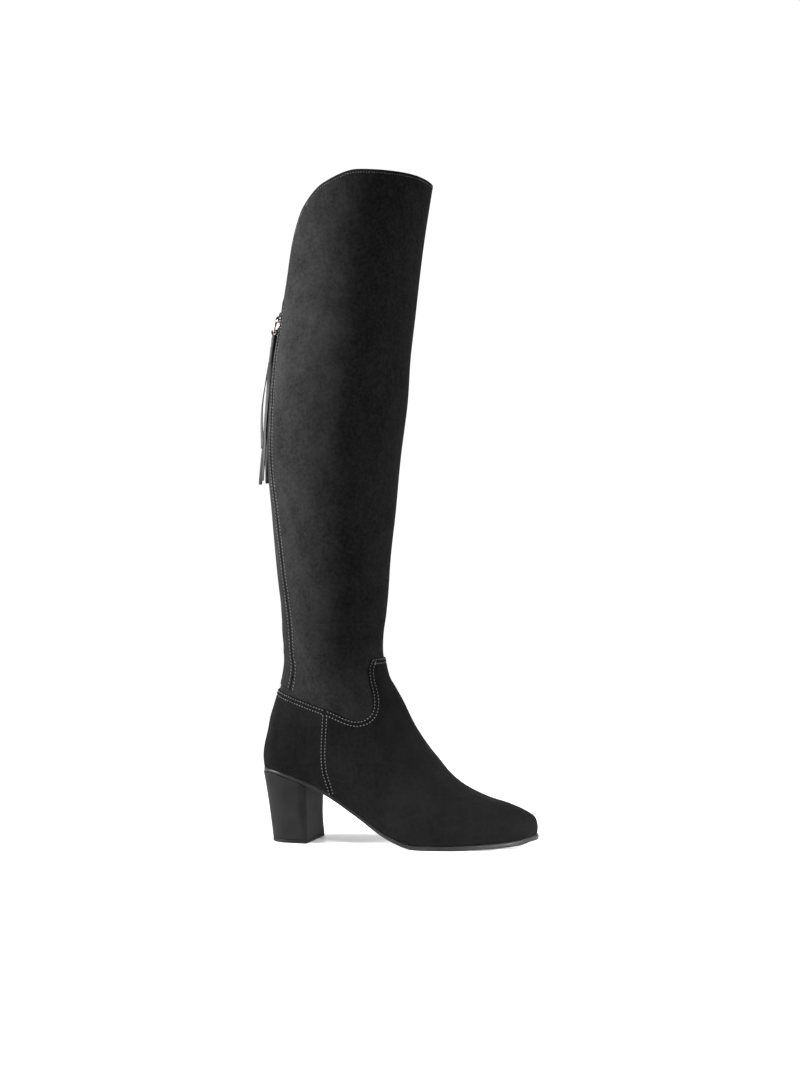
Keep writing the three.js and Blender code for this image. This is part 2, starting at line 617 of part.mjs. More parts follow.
const ring = new THREE.TorusGeometry((RING_DIAMETER - RING_WIRE) / 2, RING_WIRE / 2, 7, 20);
ring.rotateY(Math.PI / 2);
ring.rotateY(ringTilt);
const ringMiddle = alongRing((RING_DIAMETER - RING_WIRE) / 2);
ring.translate(ringMiddle.x, 0, ringMiddle.z);
addPiece("tassel_ring", ring, new THREE.MeshStandardMaterial({ color: 0xe0c2ae, roughness: 0.15, metalness: 1 }));

// Tassel: its strap round the ring, a wrapped head and the cut strips

const headTop = new THREE.Vector3(ringBottom.x, 0, ringBottom.z - EYE_OUTER + KEEPER);
const headFoot = headTop.clone().add(new THREE.Vector3(-TASSEL_LEAN, 0, -HEAD_LENGTH));

// Strips, from the head's foot: turn is the place round the head, bow how far the strip swings outwards
// halfway, out and side where its end lies from the head's foot, all in shares of TASSEL_SPREAD,
// long a share of STRIP_LENGTH, twist in degrees from one end to the other
const TASSEL_STRIPS = table("turn bow out side long twist", [
  [180, 0.65, 0.73, -0.20, 0.71, 60],
  [225, 0.05, 0.92, -0.10, 1.00, 40],
  [135, 0.43, 0.41, 0.20, 0.99, 150],
  [270, 0.30, 0.55, -0.60, 0.97, -60],
  [90, 0.35, 0.60, 0.70, 0.96, 60],
  [0, 0.36, 0.64, 0.15, 0.93, 30],
]);
const STRIP_STEPS = 6;
function tasselStrip(row) {
  const turn = THREE.MathUtils.degToRad(row.turn);
  const start = headFoot.clone().add(new THREE.Vector3(
    0.55 * HEAD_DIAMETER / 2 * Math.cos(turn), 0.55 * HEAD_DIAMETER / 2 * Math.sin(turn), STRIP_THICK * 3));
  const rings = [];
  for (let i = 0; i <= STRIP_STEPS; i += 1) {
    const down = i / STRIP_STEPS;
    const swing = TASSEL_SPREAD * (row.out * down ** 1.3 + row.bow * Math.sin(Math.PI * down) * 0.6);
    const middle = new THREE.Vector3(start.x - swing, start.y + TASSEL_SPREAD * row.side * down,
      start.z - STRIP_LENGTH * row.long * down);
    const facing = turn + THREE.MathUtils.degToRad(row.twist) * down;
    const across = new THREE.Vector3(-Math.sin(facing), Math.cos(facing), 0).multiplyScalar(TASSEL_WIDTH / 2);
    const through = new THREE.Vector3(Math.cos(facing), Math.sin(facing), 0).multiplyScalar(STRIP_THICK / 2);
    const corner = (a, b) => middle.clone().addScaledVector(across, a).addScaledVector(through, b);
    rings.push([corner(-1, -1), corner(1, -1), corner(1, 1), corner(-1, 1)]);
  }
  return solidFrom(ringsGeometry(rings, false));
}
function tasselHead() {
  const way = headFoot.clone().sub(headTop);
  const head = new THREE.CylinderGeometry(HEAD_DIAMETER / 2, HEAD_DIAMETER / 2, way.length(), 10);
  head.applyQuaternion(new THREE.Quaternion().setFromUnitVectors(
    new THREE.Vector3(0, -1, 0), way.clone().normalize()));
  head.translate((headTop.x + headFoot.x) / 2, 0, (headTop.z + headFoot.z) / 2);
  return solidFrom(head);
}
const neck = headTop.clone().lerp(headFoot, 0.25);
const tassel = TASSEL_STRIPS.map(tasselStrip).reduce(
  (whole, strip) => whole.add(strip), tasselHead().add(solidFrom(eyeGeometry(ringBottom, neck))));
addPiece("tassel", geometryOf(tassel), leather());

export default boot;
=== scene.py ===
"""Looks of the thigh high boot: suede panels, stitches, lining, heel, sole, ring and tassel."""

import math

import bpy
import numpy as np
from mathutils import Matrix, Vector
from mathutils.kdtree import KDTree


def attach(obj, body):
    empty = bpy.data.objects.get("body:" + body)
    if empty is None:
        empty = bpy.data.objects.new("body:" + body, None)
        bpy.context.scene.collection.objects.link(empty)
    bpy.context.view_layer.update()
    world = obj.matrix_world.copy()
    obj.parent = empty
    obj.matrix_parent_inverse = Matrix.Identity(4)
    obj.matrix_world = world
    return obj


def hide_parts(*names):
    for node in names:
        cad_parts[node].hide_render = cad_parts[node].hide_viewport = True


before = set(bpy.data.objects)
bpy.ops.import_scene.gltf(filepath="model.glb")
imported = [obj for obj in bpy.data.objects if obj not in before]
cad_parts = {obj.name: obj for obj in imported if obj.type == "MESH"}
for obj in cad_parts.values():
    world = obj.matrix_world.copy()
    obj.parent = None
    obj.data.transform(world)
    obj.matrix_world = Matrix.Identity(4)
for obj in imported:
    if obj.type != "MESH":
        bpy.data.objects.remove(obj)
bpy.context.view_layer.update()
MM = 0.001

# Sizes in millimetres, the same as the solids'
LENGTH = 243.1
HEEL_SETBACK = 26.4
BALL_WIDTH = 78
INSTEP_RISE = 134
SEAT_HEIGHT = 61.8
TOE_SPRING = 6
FOOT_SWING = 6
BOOT_HEIGHT = 584
ANKLE_HEIGHT = 159
ANKLE_TILT = 22
ANKLE_DEPTH = 91.6
ANKLE_WIDTH = 76
CALF_DEPTH = 123.2
CALF_WIDTH = 113
COLLAR_DEPTH = 127.6
COLLAR_WIDTH = 121
SHAFT_LEAN = 25
HEEL_INSET = 17.1
COLLAR_DIP = 112
FRONT_DIP = 3
WALL = 1.8
CLEARANCE = 0.3
OVERLAY = 1.1
STRIP = 0.7
STRIP_WIDTH = 58
WAIST_SOLE = 3.4
TOE_SOLE = 4.8
SOLE_MARGIN = 1.4
SEAT_MARGIN = 0.3
INSOLE = 2
HEEL_BOTTOM_LENGTH = 38
HEEL_BOTTOM_WIDTH = 51
HEEL_TOP_LENGTH = 46.5
HEEL_TOP_WIDTH = 60
HEEL_HOLLOW = 0.5
HEEL_CORNER = 6.5
HEEL_TURN = 3.5
HEEL_TIP = 2.8
RING_DIAMETER = 14.6
RING_WIRE = 2.2
RING_TILT = 20
KEEPER = 1.1
KEEPER_WIDTH = 4.4
KEEPER_DROP = 6
EYE_PLAY = 0.75
HEAD_DIAMETER = 5
HEAD_LENGTH = 26
TASSEL_LEAN = 3.5
STRIP_LENGTH = 112
TASSEL_SPREAD = 9
TASSEL_WIDTH = 3.6
STRIP_THICK = 1.1

REAR_X = -HEEL_SETBACK
TIP_X = REAR_X + LENGTH
ANKLE_BACK_X = REAR_X + HEEL_INSET
ANKLE_FRONT_X = ANKLE_BACK_X + ANKLE_DEPTH
SHAFT_RISE = BOOT_HEIGHT - ANKLE_HEIGHT
OVERLAY_OUT = CLEARANCE + OVERLAY

# Tables and curves


def table(names, rows):
    """Columns by name, one row for each section."""
    return {name: np.array([row[i] for row in rows], float) for i, name in enumerate(names.split())}


def lerp(a, b, share):
    return a + (b - a) * share


def unit(vectors):
    return vectors / np.linalg.norm(vectors, axis=-1, keepdims=True)


def full_turn(count):
    return np.linspace(0, 2 * np.pi, count, endpoint=False)


def closed(ring):
    return np.concatenate([ring, ring[:1]])


def step_lengths(line):
    """How far along a line each of its points lies."""
    return np.concatenate([[0], np.cumsum(np.linalg.norm(np.diff(line, axis=0), axis=1))])


def halve(low, high, steps, is_before):
    """The place between low and high up to which is_before holds, found by halving."""
    for _ in range(steps):
        middle = (low + high) / 2
        before = is_before(middle)
        low, high = np.where(before, middle, low), np.where(before, high, middle)
    return (low + high) / 2


def cubic(t, span, start, end, start_slope, end_slope):
    return (start + span * start_slope * t * (1 - t) ** 2 - span * end_slope * t * t * (1 - t)
            + (end - start) * t * t * (3 - 2 * t))


def curve(at, value, even=False):
    """A smooth curve through the values; with level ends and no overshoot where even is true."""
    slope = np.diff(value) / np.diff(at)
    before, after = np.diff(at)[:-1], np.diff(at)[1:]
    tangent = np.zeros(len(at))
    if even:
        same = slope[:-1] * slope[1:] > 0
        safe = [np.where(same, side, 1.0) for side in (slope[:-1], slope[1:])]
        tangent[1:-1] = np.where(same, (before + after) / (before / safe[0] + after / safe[1]), 0.0)
    else:
        tangent[1:-1] = (slope[:-1] * after + slope[1:] * before) / (before + after)
        tangent[0], tangent[-1] = slope[0], slope[-1]

    def along(x):
        place = np.clip(np.asarray(x, float), at[0], at[-1])
        i = np.searchsorted(at[1:-1], place, side="left")
        span = at[i + 1] - at[i]
        return cubic((place - at[i]) / span, span, value[i], value[i + 1], tangent[i], tangent[i + 1])

    return along


# The sole's underside, from the back of the seat (0) to the toe tip (1)
SOLE_LINE = table("at rise spring full", [
    [0.000, 1.000, 0.00, 0.0],
    [0.048, 0.990, 0.00, 0.0],
    [0.090, 0.954, 0.00, 0.0],
    [0.140, 0.895, 0.00, 0.0],
    [0.187, 0.832, 0.00, 0.0],
    [0.249, 0.715, 0.00, 0.0],
    [0.295, 0.609, 0.00, 0.0],
    [0.345, 0.480, 0.00, 0.06],
    [0.396, 0.350, 0.00, 0.12],
    [0.454, 0.198, 0.00, 0.24],
    [0.516, 0.078, 0.00, 0.42],
    [0.563, 0.018, 0.00, 0.54],
    [0.588, 0.000, 0.00, 0.58],
    [0.690, 0.000, 0.00, 0.58],
    [0.797, 0.000, 0.13, 0.62],
    [0.876, 0.000, 0.28, 0.72],
    [0.952, 0.000, 0.55, 0.88],
    [1.000, 0.000, 1.00, 1.0],
])
sole_rise = curve(SOLE_LINE["at"], SOLE_LINE["rise"], True)
sole_spring = curve(SOLE_LINE["at"], SOLE_LINE["spring"], True)
sole_full = curve(SOLE_LINE["at"], SOLE_LINE["full"], True)


def along_foot(x):
    return np.clip((x - REAR_X) / LENGTH, 0, 1)


def under_sole(x):
    return SEAT_HEIGHT * sole_rise(along_foot(x)) + TOE_SPRING * sole_spring(along_foot(x))


def sole_thickness(x):
    return lerp(WAIST_SOLE, TOE_SOLE, sole_full(along_foot(x)))


def feather_line(x):
    return under_sole(x) + sole_thickness(x)


# Rings of the foot and of the shaft, as in the solids
FOOT = table("level back_x back_z front_x front_z heel waist ball toe back_round front_round", [
    [0.00, 0.00, 0.000, 0.995, 0.000, 0.765, 0.682, 1.013, 0.918, 8.0, 3.0],
    [0.07, -0.05, 0.063, 1.000, 0.051, 0.785, 0.718, 1.018, 0.908, 7.8, 3.0],
    [0.14, -0.05, 0.125, 0.986, 0.101, 0.800, 0.750, 1.022, 0.890, 7.5, 3.0],
    [0.22, 0.01, 0.197, 0.938, 0.136, 0.800, 0.795, 1.000, 0.885, 7.0, 3.0],
    [0.32, 0.16, 0.302, 0.833, 0.180, 0.782, 0.846, 0.928, 0.885, 6.4, 3.0],
    [0.43, 0.31, 0.426, 0.679, 0.224, 0.795, 0.877, 0.897, 0.897, 5.4, 3.2],
    [0.55, 0.56, 0.560, 0.498, 0.314, 0.810, 0.897, 0.872, 0.923, 4.4, 3.3],
    [0.67, 0.77, 0.684, 0.340, 0.476, 0.805, 0.913, 0.887, 0.885, 3.6, 3.0],
    [0.79, 0.93, 0.799, 0.199, 0.672, 0.795, 0.923, 0.913, 0.830, 3.0, 2.6],
    [0.90, 1.01, 0.900, 0.102, 0.861, 0.795, 0.938, 0.938, 0.846, 2.6, 2.4],
    [0.95, 1.01, 0.950, 0.060, 0.933, 0.800, 0.965, 0.965, 0.863, 2.45, 2.35],
])
SHAFT = table("up tilt calf thigh lean narrow_back narrow_front back_round front_round", [
    [0.000, 1.00, 0.06, 0.00, 0.025, 0.18, 0.11, 2.3, 2.3],
    [0.050, 0.62, -0.03, 0.00, -0.080, 0.12, 0.07, 2.2, 2.2],
    [0.103, 0.25, 0.08, 0.00, -0.040, 0.06, 0.03, 2.1, 2.1],
    [0.160, 0.00, 0.23, 0.00, -0.030, 0.02, 0.00, 2.0, 2.0],
    [0.225, 0.00, 0.37, 0.00, -0.050, 0.00, 0.00, 2.0, 2.0],
    [0.310, 0.00, 0.60, 0.00, -0.035, 0.00, 0.00, 2.0, 2.0],
    [0.430, 0.00, 0.87, 0.00, -0.015, 0.00, 0.00, 2.0, 2.0],
    [0.550, 0.00, 1.01, 0.00, 0.155, 0.00, 0.00, 2.0, 2.0],
    [0.640, 0.00, 0.965, 0.00, 0.290, 0.00, 0.00, 2.0, 2.0],
    [0.720, 0.00, 0.885, 0.05, 0.490, 0.00, 0.00, 2.0, 2.0],
    [0.800, 0.00, 0.825, 0.30, 0.635, 0.00, 0.00, 2.0, 2.0],
    [0.900, 0.00, 0.82, 0.65, 0.790, 0.00, 0.00, 2.0, 2.0],
    [1.000, 0.00, 0.82, 1.00, 0.985, 0.00, 0.00, 2.0, 2.0],
])


def ring_columns():
    depth = lerp(lerp(ANKLE_DEPTH, CALF_DEPTH, SHAFT["calf"]), COLLAR_DEPTH, SHAFT["thigh"])
    width = lerp(lerp(ANKLE_WIDTH, CALF_WIDTH, SHAFT["calf"]), COLLAR_WIDTH, SHAFT["thigh"])
    middle = (ANKLE_BACK_X + ANKLE_FRONT_X) / 2 + SHAFT_LEAN * SHAFT["lean"]
    height = ANKLE_HEIGHT + SHAFT_RISE * SHAFT["up"]
    seat = feather_line(REAR_X)
    foot = {
        "level": FOOT["level"],
        "back_x": REAR_X + HEEL_INSET * FOOT["back_x"],
        "back_z": lerp(seat, ANKLE_HEIGHT + ANKLE_TILT / 2, FOOT["back_z"]),
        "front_x": lerp(ANKLE_FRONT_X, TIP_X, FOOT["front_x"]),
        "front_z": feather_line(TIP_X) + INSTEP_RISE * FOOT["front_z"],
        **{key: BALL_WIDTH / 2 * FOOT[key] for key in ("heel", "waist", "ball", "toe")},
    }
    shaft = {
        "level": 1 + SHAFT["up"],
        "back_x": middle - depth / 2,
        "back_z": height + ANKLE_TILT * SHAFT["tilt"] / 2,
        "front_x": middle + depth / 2,
        "front_z": height - ANKLE_TILT * SHAFT["tilt"] / 2,
        "heel": width / 2 * (1 - SHAFT["narrow_back"]),
        "waist": width / 2,
        "ball": width / 2,
        "toe": width / 2 * (1 - SHAFT["narrow_front"]),
    }
    for key in ("back_round", "front_round"):
        foot[key], shaft[key] = FOOT[key], SHAFT[key]
    return {key: np.concatenate([foot[key], shaft[key]]) for key in foot}


RINGS = ring_columns()
ring_curves = {key: curve(RINGS["level"], RINGS[key]) for key in RINGS if key != "level"}
STATIONS = np.array([0, 0.1, 0.35, 0.65, 0.9, 1])
swing_at = curve(np.array([0, 0.12, 0.38, 0.65, 0.88, 1]), np.array([0, -0.05, -0.5, -0.25, 0.45, 1]))


def half_width(ring, share):
    """The ring's half width at a share of its length, by the same cubic as the solids'."""
    heel, waist, ball, toe = (ring[key] for key in ("heel", "waist", "ball", "toe"))
    value = np.stack([heel, heel, waist, ball, toe, toe])
    gap = np.diff(STATIONS).reshape(-1, *([1] * (value.ndim - 1)))
    slope = np.diff(value, axis=0) / gap
    tangent = np.empty_like(value)
    tangent[0], tangent[-1] = slope[0], slope[-1]
    tangent[1:-1] = (slope[:-1] * gap[1:] + slope[1:] * gap[:-1]) / (gap[:-1] + gap[1:])
    place = np.clip(share, 0, 1)
    i = np.searchsorted(STATIONS[1:-1], place, side="left")
    span = STATIONS[i + 1] - STATIONS[i]

    def pick(rows, index):
        return np.take_along_axis(rows, index[None], axis=0)[0]

    return cubic((place - STATIONS[i]) / span, span, pick(value, i), pick(value, i + 1),
                 pick(tangent, i), pick(tangent, i + 1))


def last_point(level, angle):
    """Angle 0 is the back, half a turn is the front, by way of the outer side."""
    level, angle = np.broadcast_arrays(np.asarray(level, float), np.asarray(angle, float))
    ring = {key: ring_curves[key](level) for key in ring_curves}
    turn = np.cos(angle)
    share = (1 - turn) / 2
    fade = np.clip(1 - level, 0, 1)
    blunt_power = np.where(turn > 0, ring["back_round"], ring["front_round"])
    end = 1 - turn * turn
    blunt = np.where(end > 1e-9, (1 - np.abs(turn) ** blunt_power) / np.maximum(end, 1e-9), blunt_power / 2)
    x = lerp(ring["back_x"], ring["front_x"], share)
    y = FOOT_SWING * swing_at(share) * fade - np.sin(angle) * half_width(ring, share) * np.sqrt(blunt)
    first = {key: RINGS[key][0] for key in ("back_x", "front_x", "back_z", "front_z")}
    sag = (feather_line(lerp(first["back_x"], first["front_x"], share))
           - lerp(first["back_z"], first["front_z"], share))
    z = lerp(ring["back_z"], ring["front_z"], share) + sag * fade ** 1.6
    return np.stack([x, y, z], axis=-1)


DIP_START = 1.5
COLLAR_LINE = table("from_back back front", [
    [0.00, 1.00, 0.0],
    [0.07, 0.98, 0.0],
    [0.14, 0.85, 0.0],
    [0.22, 0.49, 0.0],
    [0.30, 0.24, 0.0],
    [0.41, 0.082, 0.0],
    [0.56, 0.00, 0.0],
    [0.78, 0.00, 0.3],
    [1.00, 0.00, 1.0],
])
back_dip = curve(COLLAR_LINE["from_back"], COLLAR_LINE["back"], True)
front_dip = curve(COLLAR_LINE["from_back"], COLLAR_LINE["front"], True)


def level_at(level, angle):
    """Levels over DIP_START sink towards the collar's line."""
    around = np.mod(angle, 2 * np.pi)
    from_back = np.minimum(around, 2 * np.pi - around) / np.pi
    dip = COLLAR_DIP * back_dip(from_back) + FRONT_DIP * front_dip(from_back)
    sunk = DIP_START + (level - DIP_START) * (1 - dip / SHAFT_RISE / (2 - DIP_START))
    return np.where(level > DIP_START, sunk, level)


NEAR_LEVEL = 0.004
NEAR_ANGLE = 0.02


def normal_at(level, angle):
    low = np.maximum(level - NEAR_LEVEL, 0)
    high = np.minimum(level + NEAR_LEVEL, 2)
    up = last_point(high, angle) - last_point(low, angle)
    round_ = last_point(level, angle + NEAR_ANGLE) - last_point(level, angle - NEAR_ANGLE)
    normal = np.cross(round_, up)
    flat = np.broadcast_to(np.asarray(level) <= 0, normal.shape[:-1])
    normal[..., 2] = np.where(flat, 0, normal[..., 2])
    return normal / np.maximum(np.linalg.norm(normal, axis=-1, keepdims=True), 1e-9)


# Creases of the empty shaft: soft troughs and ridges across the ankle and the back of the knee.
# level: along the shaft; turn: degrees from the back; long and wide: reach over the level and the turn;
# slant: how much the level changes over a turn of 90 degrees; deep: millimetres, a ridge where negative
CREASES = [dict(zip("level turn long wide slant deep".split(), row)) for row in [
    [1.040, 180, 0.016, 55, 0.020, 0.26],
    [1.085, 165, 0.020, 60, -0.030, 0.24],
    [1.062, 175, 0.014, 50, 0.000, -0.15],
    [1.020, 10, 0.018, 55, -0.020, 0.45],
    [1.070, 0, 0.022, 60, 0.020, 0.40],
    [1.130, 20, 0.030, 60, 0.030, 0.35],
    [1.190, 150, 0.035, 60, -0.040, 0.30],
    [1.330, 60, 0.060, 45, 0.050, 0.45],
    [1.420, 110, 0.070, 40, -0.060, 0.50],
    [1.560, 70, 0.060, 50, 0.060, 0.55],
    [1.640, 120, 0.060, 45, -0.050, 0.50],
    [1.760, 80, 0.070, 45, 0.060, 0.45],
    [1.870, 130, 0.060, 40, -0.040, 0.45],
    [0.600, 176, 0.030, 40, 0.000, 0.35],
    [0.660, 180, 0.022, 40, 0.000, -0.25],
]]


def crease(level, angle):
    """How far the surface moves out, in millimetres; it is the same on both sides."""
    around = np.degrees(np.mod(angle, 2 * np.pi))
    side = np.minimum(around, 360 - around)
    out = np.zeros(np.broadcast(level, angle).shape)
    for c in CREASES:
        across = (level - c["level"] - c["slant"] * (side - c["turn"]) / 90) / c["long"]
        along = (side - c["turn"]) / c["wide"]
        out = out - c["deep"] * np.exp(-(across ** 2)) * np.exp(-(along ** 2))
    return out


def surface(level, angle, out, bare=False):
    """Points of the last's surface moved out, with the creases."""
    level, angle, out = np.broadcast_arrays(np.asarray(level, float), np.asarray(angle, float),
                                            np.asarray(out, float))
    if not bare:
        out = out + crease(level, angle) * np.clip(level / 0.2, 0, 1)
    points = last_point(level, angle) + normal_at(level, angle) * out[..., None]
    low = level <= 0
    points[..., 2] = np.where(low, feather_line(points[..., 0]), points[..., 2])
    return points


# Meshes


def add_mesh(name, points, faces, materials, face_materials=None):
    mesh = bpy.data.meshes.new(name)
    mesh.from_pydata((np.asarray(points) * MM).tolist(), [], [list(map(int, face)) for face in faces])
    for material in materials:
        mesh.materials.append(material)
    if face_materials is not None:
        mesh.polygons.foreach_set("material_index", np.asarray(face_materials, np.int32))
    mesh.polygons.foreach_set("use_smooth", np.ones(len(mesh.polygons), bool))
    mesh.validate()
    mesh.update()
    obj = bpy.data.objects.new(name, mesh)
    bpy.context.scene.collection.objects.link(obj)
    return obj


def place(obj, slot, *nodes):
    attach(obj, "root")
    if nodes:
        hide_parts(*nodes)


def grid_faces(rows, columns, start=0, wrap_columns=False, wrap_rows=False):
    """Quads of a grid of points; they face outwards when rows rise and columns run counterclockwise."""
    r = np.arange(rows if wrap_rows else rows - 1)[:, None]
    c = np.arange(columns if wrap_columns else columns - 1)[None, :]
    next_r, next_c = (r + 1) % rows, (c + 1) % columns
    corners = [r * columns + c, r * columns + next_c, next_r * columns + next_c, next_r * columns + c]
    shape = (r.shape[0], c.shape[1])
    return np.stack([np.broadcast_to(k, shape).reshape(-1) for k in corners], axis=-1) + start


def sheet_body(outer, inner):
    """A closed thin body between two grids of the same shape: its faces and points."""
    rows, columns = outer.shape[:2]
    points = np.concatenate([outer.reshape(-1, 3), inner.reshape(-1, 3)])
    start = rows * columns
    faces = [grid_faces(rows, columns), grid_faces(rows, columns, start)[:, ::-1]]
    edge = [r * columns + c for r, c in
            [(0, c) for c in range(columns)] + [(r, columns - 1) for r in range(1, rows)]
            + [(rows - 1, c) for c in range(columns - 2, -1, -1)] + [(r, 0) for r in range(rows - 2, 0, -1)]]
    edge = np.array(edge)
    after = np.roll(edge, -1)
    faces.append(np.stack([after, edge, edge + start, after + start], axis=-1))
    return points, np.concatenate(faces)


def lathe_faces(rings, around):
    """Faces of stacked rings of points with a fan at each end."""
    side = grid_faces(rings, around, wrap_columns=True)
    top = (rings - 1) * around
    return [list(face) for face in side] + [list(range(around))[::-1]] + [list(range(top, top + around))]


def distance_to(points, line):
    """Shortest distance from each point to a dense polyline's points."""
    tree = KDTree(len(line))
    for i, place_at in enumerate(line):
        tree.insert(place_at, i)
    tree.balance()
    return np.array([tree.find(point)[2] for point in points.reshape(-1, 3)]).reshape(points.shape[:-1])


def even_line(line, step):
    """The same line with its points an even distance apart."""
    length = step_lengths(line)
    at = np.linspace(0, length[-1], max(int(round(length[-1] / step)) + 1, 2))
    return np.stack([np.interp(at, length, line[:, k]) for k in range(line.shape[1])], axis=-1)


# Seam lines seen from the side, in shares of the ankle's depth and height
ANKLE_SEAM = table("x z", [
    [-0.45, 0.925],
    [-0.10, 0.858],
    [0.10, 0.822],
    [0.25, 0.797],
    [0.41, 0.770],
    [0.57, 0.742],
    [0.70, 0.710],
    [0.80, 0.694],
    [0.89, 0.702],
    [0.950, 0.735],
    [0.965, 0.785],
    [0.950, 0.845],
    [0.920, 0.905],
    [0.903, 0.965],
    [0.920, 1.012],
    [0.965, 1.030],
    [1.30, 1.034],
])
COUNTER_SEAM = table("x z", [
    [0.518, 0.80],
    [0.510, 0.70],
    [0.488, 0.52],
    [0.490, 0.42],
    [0.520, 0.35],
    [0.560, 0.27],
    [0.640, 0.10],
])


def seam_line(rows, count):
    """The solids' own spline through the seam's points."""
    places = np.stack([ANKLE_BACK_X + ANKLE_DEPTH * rows["x"], ANKLE_HEIGHT * rows["z"]], axis=-1)
    last = len(places) - 1
    place_at = np.linspace(0, last, count)
    i = np.minimum(place_at.astype(int), last - 1)
    t = (place_at - i)[:, None]
    p = [places[np.clip(i + k, 0, last)] for k in (-1, 0, 1, 2)]
    start, end = (p[2] - p[0]) / 2, (p[3] - p[1]) / 2
    return ((2 * p[1] - 2 * p[2] + start + end) * t ** 3 + (-3 * p[1] + 3 * p[2] - 2 * start - end) * t ** 2
            + start * t + p[1])


ankle_line = seam_line(ANKLE_SEAM, 200)
counter_line = seam_line(COUNTER_SEAM, 60)
below_ankle = np.concatenate([ankle_line, [[2 * LENGTH, ankle_line[-1, 1]], [2 * LENGTH, -LENGTH],
                                           [-LENGTH, -LENGTH], [-LENGTH, ankle_line[0, 1]]]])


def inside(outline, x, z):
    """Whether points lie inside an outline seen from the side."""
    result = np.zeros(np.shape(x), bool)
    after = np.roll(outline, -1, axis=0)
    for (ax, az), (bx, bz) in zip(outline, after):
        if az == bz:
            continue
        crosses = (az > z) != (bz > z)
        result ^= crosses & (x < ax + (z - az) * (bx - ax) / (bz - az))
    return result


def counter_angle(level, inner_side):
    """Angle from the back at which a ring meets the counter's seam."""
    def behind_seam(turn):
        angle = 2 * np.pi - turn if inner_side else turn
        point = last_point(level, angle) + normal_at(level, angle) * CLEARANCE
        return point[..., 0] < np.interp(point[..., 2], counter_line[::-1, 1], counter_line[::-1, 0])

    return halve(np.full(level.shape, 0.05), np.full(level.shape, 2.6), 26, behind_seam)


SEAM_LEVELS = np.linspace(0, 1, 60)
counter_angles = {side: counter_angle(SEAM_LEVELS, side) for side in (False, True)}


def panel_angle(kind, s, level):
    """Angle of a panel's column; s runs from -1 to 1, counterclockwise from above."""
    at = {side: np.interp(level, SEAM_LEVELS, counter_angles[side]) for side in (False, True)}
    if kind == "vamp":
        return np.where(s <= 0, lerp(np.pi, at[False], -s), lerp(np.pi, 2 * np.pi - at[True], s))
    return np.where(s <= 0, lerp(0, -at[True], -s), lerp(0, at[False], s))


def top_level(kind, s):
    """The level at which each column of a panel meets the ankle's seam."""
    tries = np.linspace(0.3, 1.12, 420)

    def below_seam(level):
        point = surface(level, panel_angle(kind, s, level), OVERLAY_OUT, bare=True)
        return inside(below_ankle, point[..., 0], point[..., 2])

    first = np.argmin(below_seam(tries[:, None] + 0 * s), axis=0)
    return halve(tries[np.maximum(first - 1, 0)], tries[first], 14, below_seam)


def panel_columns(kind, count):
    """Columns that follow the top seam evenly, with more of them close to the panel's ends."""
    s = np.linspace(-1, 1, 400)
    level = top_level(kind, s)
    point = surface(level, panel_angle(kind, s, level), OVERLAY_OUT, bare=True)
    length = step_lengths(point)
    blend = 0.55 * length / length[-1] + 0.45 * (s + 1) / 2
    even = np.interp(np.linspace(0, 1, count), blend, s)
    middle = surface(0.5, panel_angle(kind, s, 0.5 + 0 * s), OVERLAY_OUT, bare=True)
    reach = step_lengths(middle)[-1] / 2
    close = np.array([0.08, 0.22, 0.42, 0.7, 1.05, 1.4, 1.8, 2.2, 2.6, 3.1, 3.8]) / reach
    return np.unique(np.concatenate([even, -1 + close, 1 - close]))


# Rows beside a panel's top edge, in millimetres from it
EDGE_ROWS = np.array([0, 0.06, 0.16, 0.32, 0.52, 0.76, 1.05, 1.35, 1.65, 1.95, 2.3, 2.7, 3.1, 3.5, 3.85,
                      4.15, 4.45, 4.8, 5.2, 5.7, 6.4])


def build_panel(kind, count, rows):
    """A panel's levels and angles, its edges with their normals, and each point's distance from them."""
    s = panel_columns(kind, count)
    top = top_level(kind, s)
    probe = surface(top - 0.02, panel_angle(kind, s, top), 0, bare=True)
    rise = np.linalg.norm(surface(top, panel_angle(kind, s, top), 0, bare=True) - probe, axis=-1) / 0.02
    reach = np.minimum(EDGE_ROWS[-1] / rise, 0.6 * top)
    lower = np.linspace(0, 1, rows)[:, None] * (top - reach)[None, :]
    upper = top[None, :] - reach[None, :] * (EDGE_ROWS[::-1][1:, None] / EDGE_ROWS[-1])
    level = np.concatenate([lower, upper])
    angle = panel_angle(kind, s[None, :], level)
    base_points = surface(level, angle, OVERLAY_OUT, bare=True)
    fine = np.linspace(-1, 1, 1400)
    fine_level = top_level(kind, fine)
    fine_angle = panel_angle(kind, fine, fine_level)
    top_line = surface(fine_level, fine_angle, OVERLAY_OUT, bare=True)
    sides = []
    for end in (-1, 1):
        climb = np.linspace(0, top_level(kind, np.array([end * 0.9999]))[0], 300)
        climb_angle = panel_angle(kind, np.full(300, end), climb)
        sides.append((surface(climb, climb_angle, OVERLAY_OUT), normal_at(climb, climb_angle)))
    from_side = distance_to(base_points, np.concatenate([line for line, _ in sides]))
    return {"level": level, "angle": angle, "from_side": from_side,
            "from_top": distance_to(base_points, top_line),
            "top_line": surface(fine_level, fine_angle, OVERLAY_OUT),
            "top_normals": normal_at(fine_level, fine_angle), "side_lines": sides}


def rounded(distance, reach):
    """0 at an edge, 1 at the reach and past it, like a rounded edge's section."""
    return np.sqrt(np.maximum(1 - (1 - np.clip(distance / reach, 0, 1)) ** 2, 0))


def trough(distance, middle, wide):
    return np.exp(-(((distance - middle) / wide) ** 2))


# Materials


def new_material(name):
    material = bpy.data.materials.new(name)
    material.use_nodes = True
    tree = material.node_tree
    where = tree.nodes.new("ShaderNodeTexCoord").outputs["Object"]
    return material, tree, tree.nodes["Principled BSDF"], where


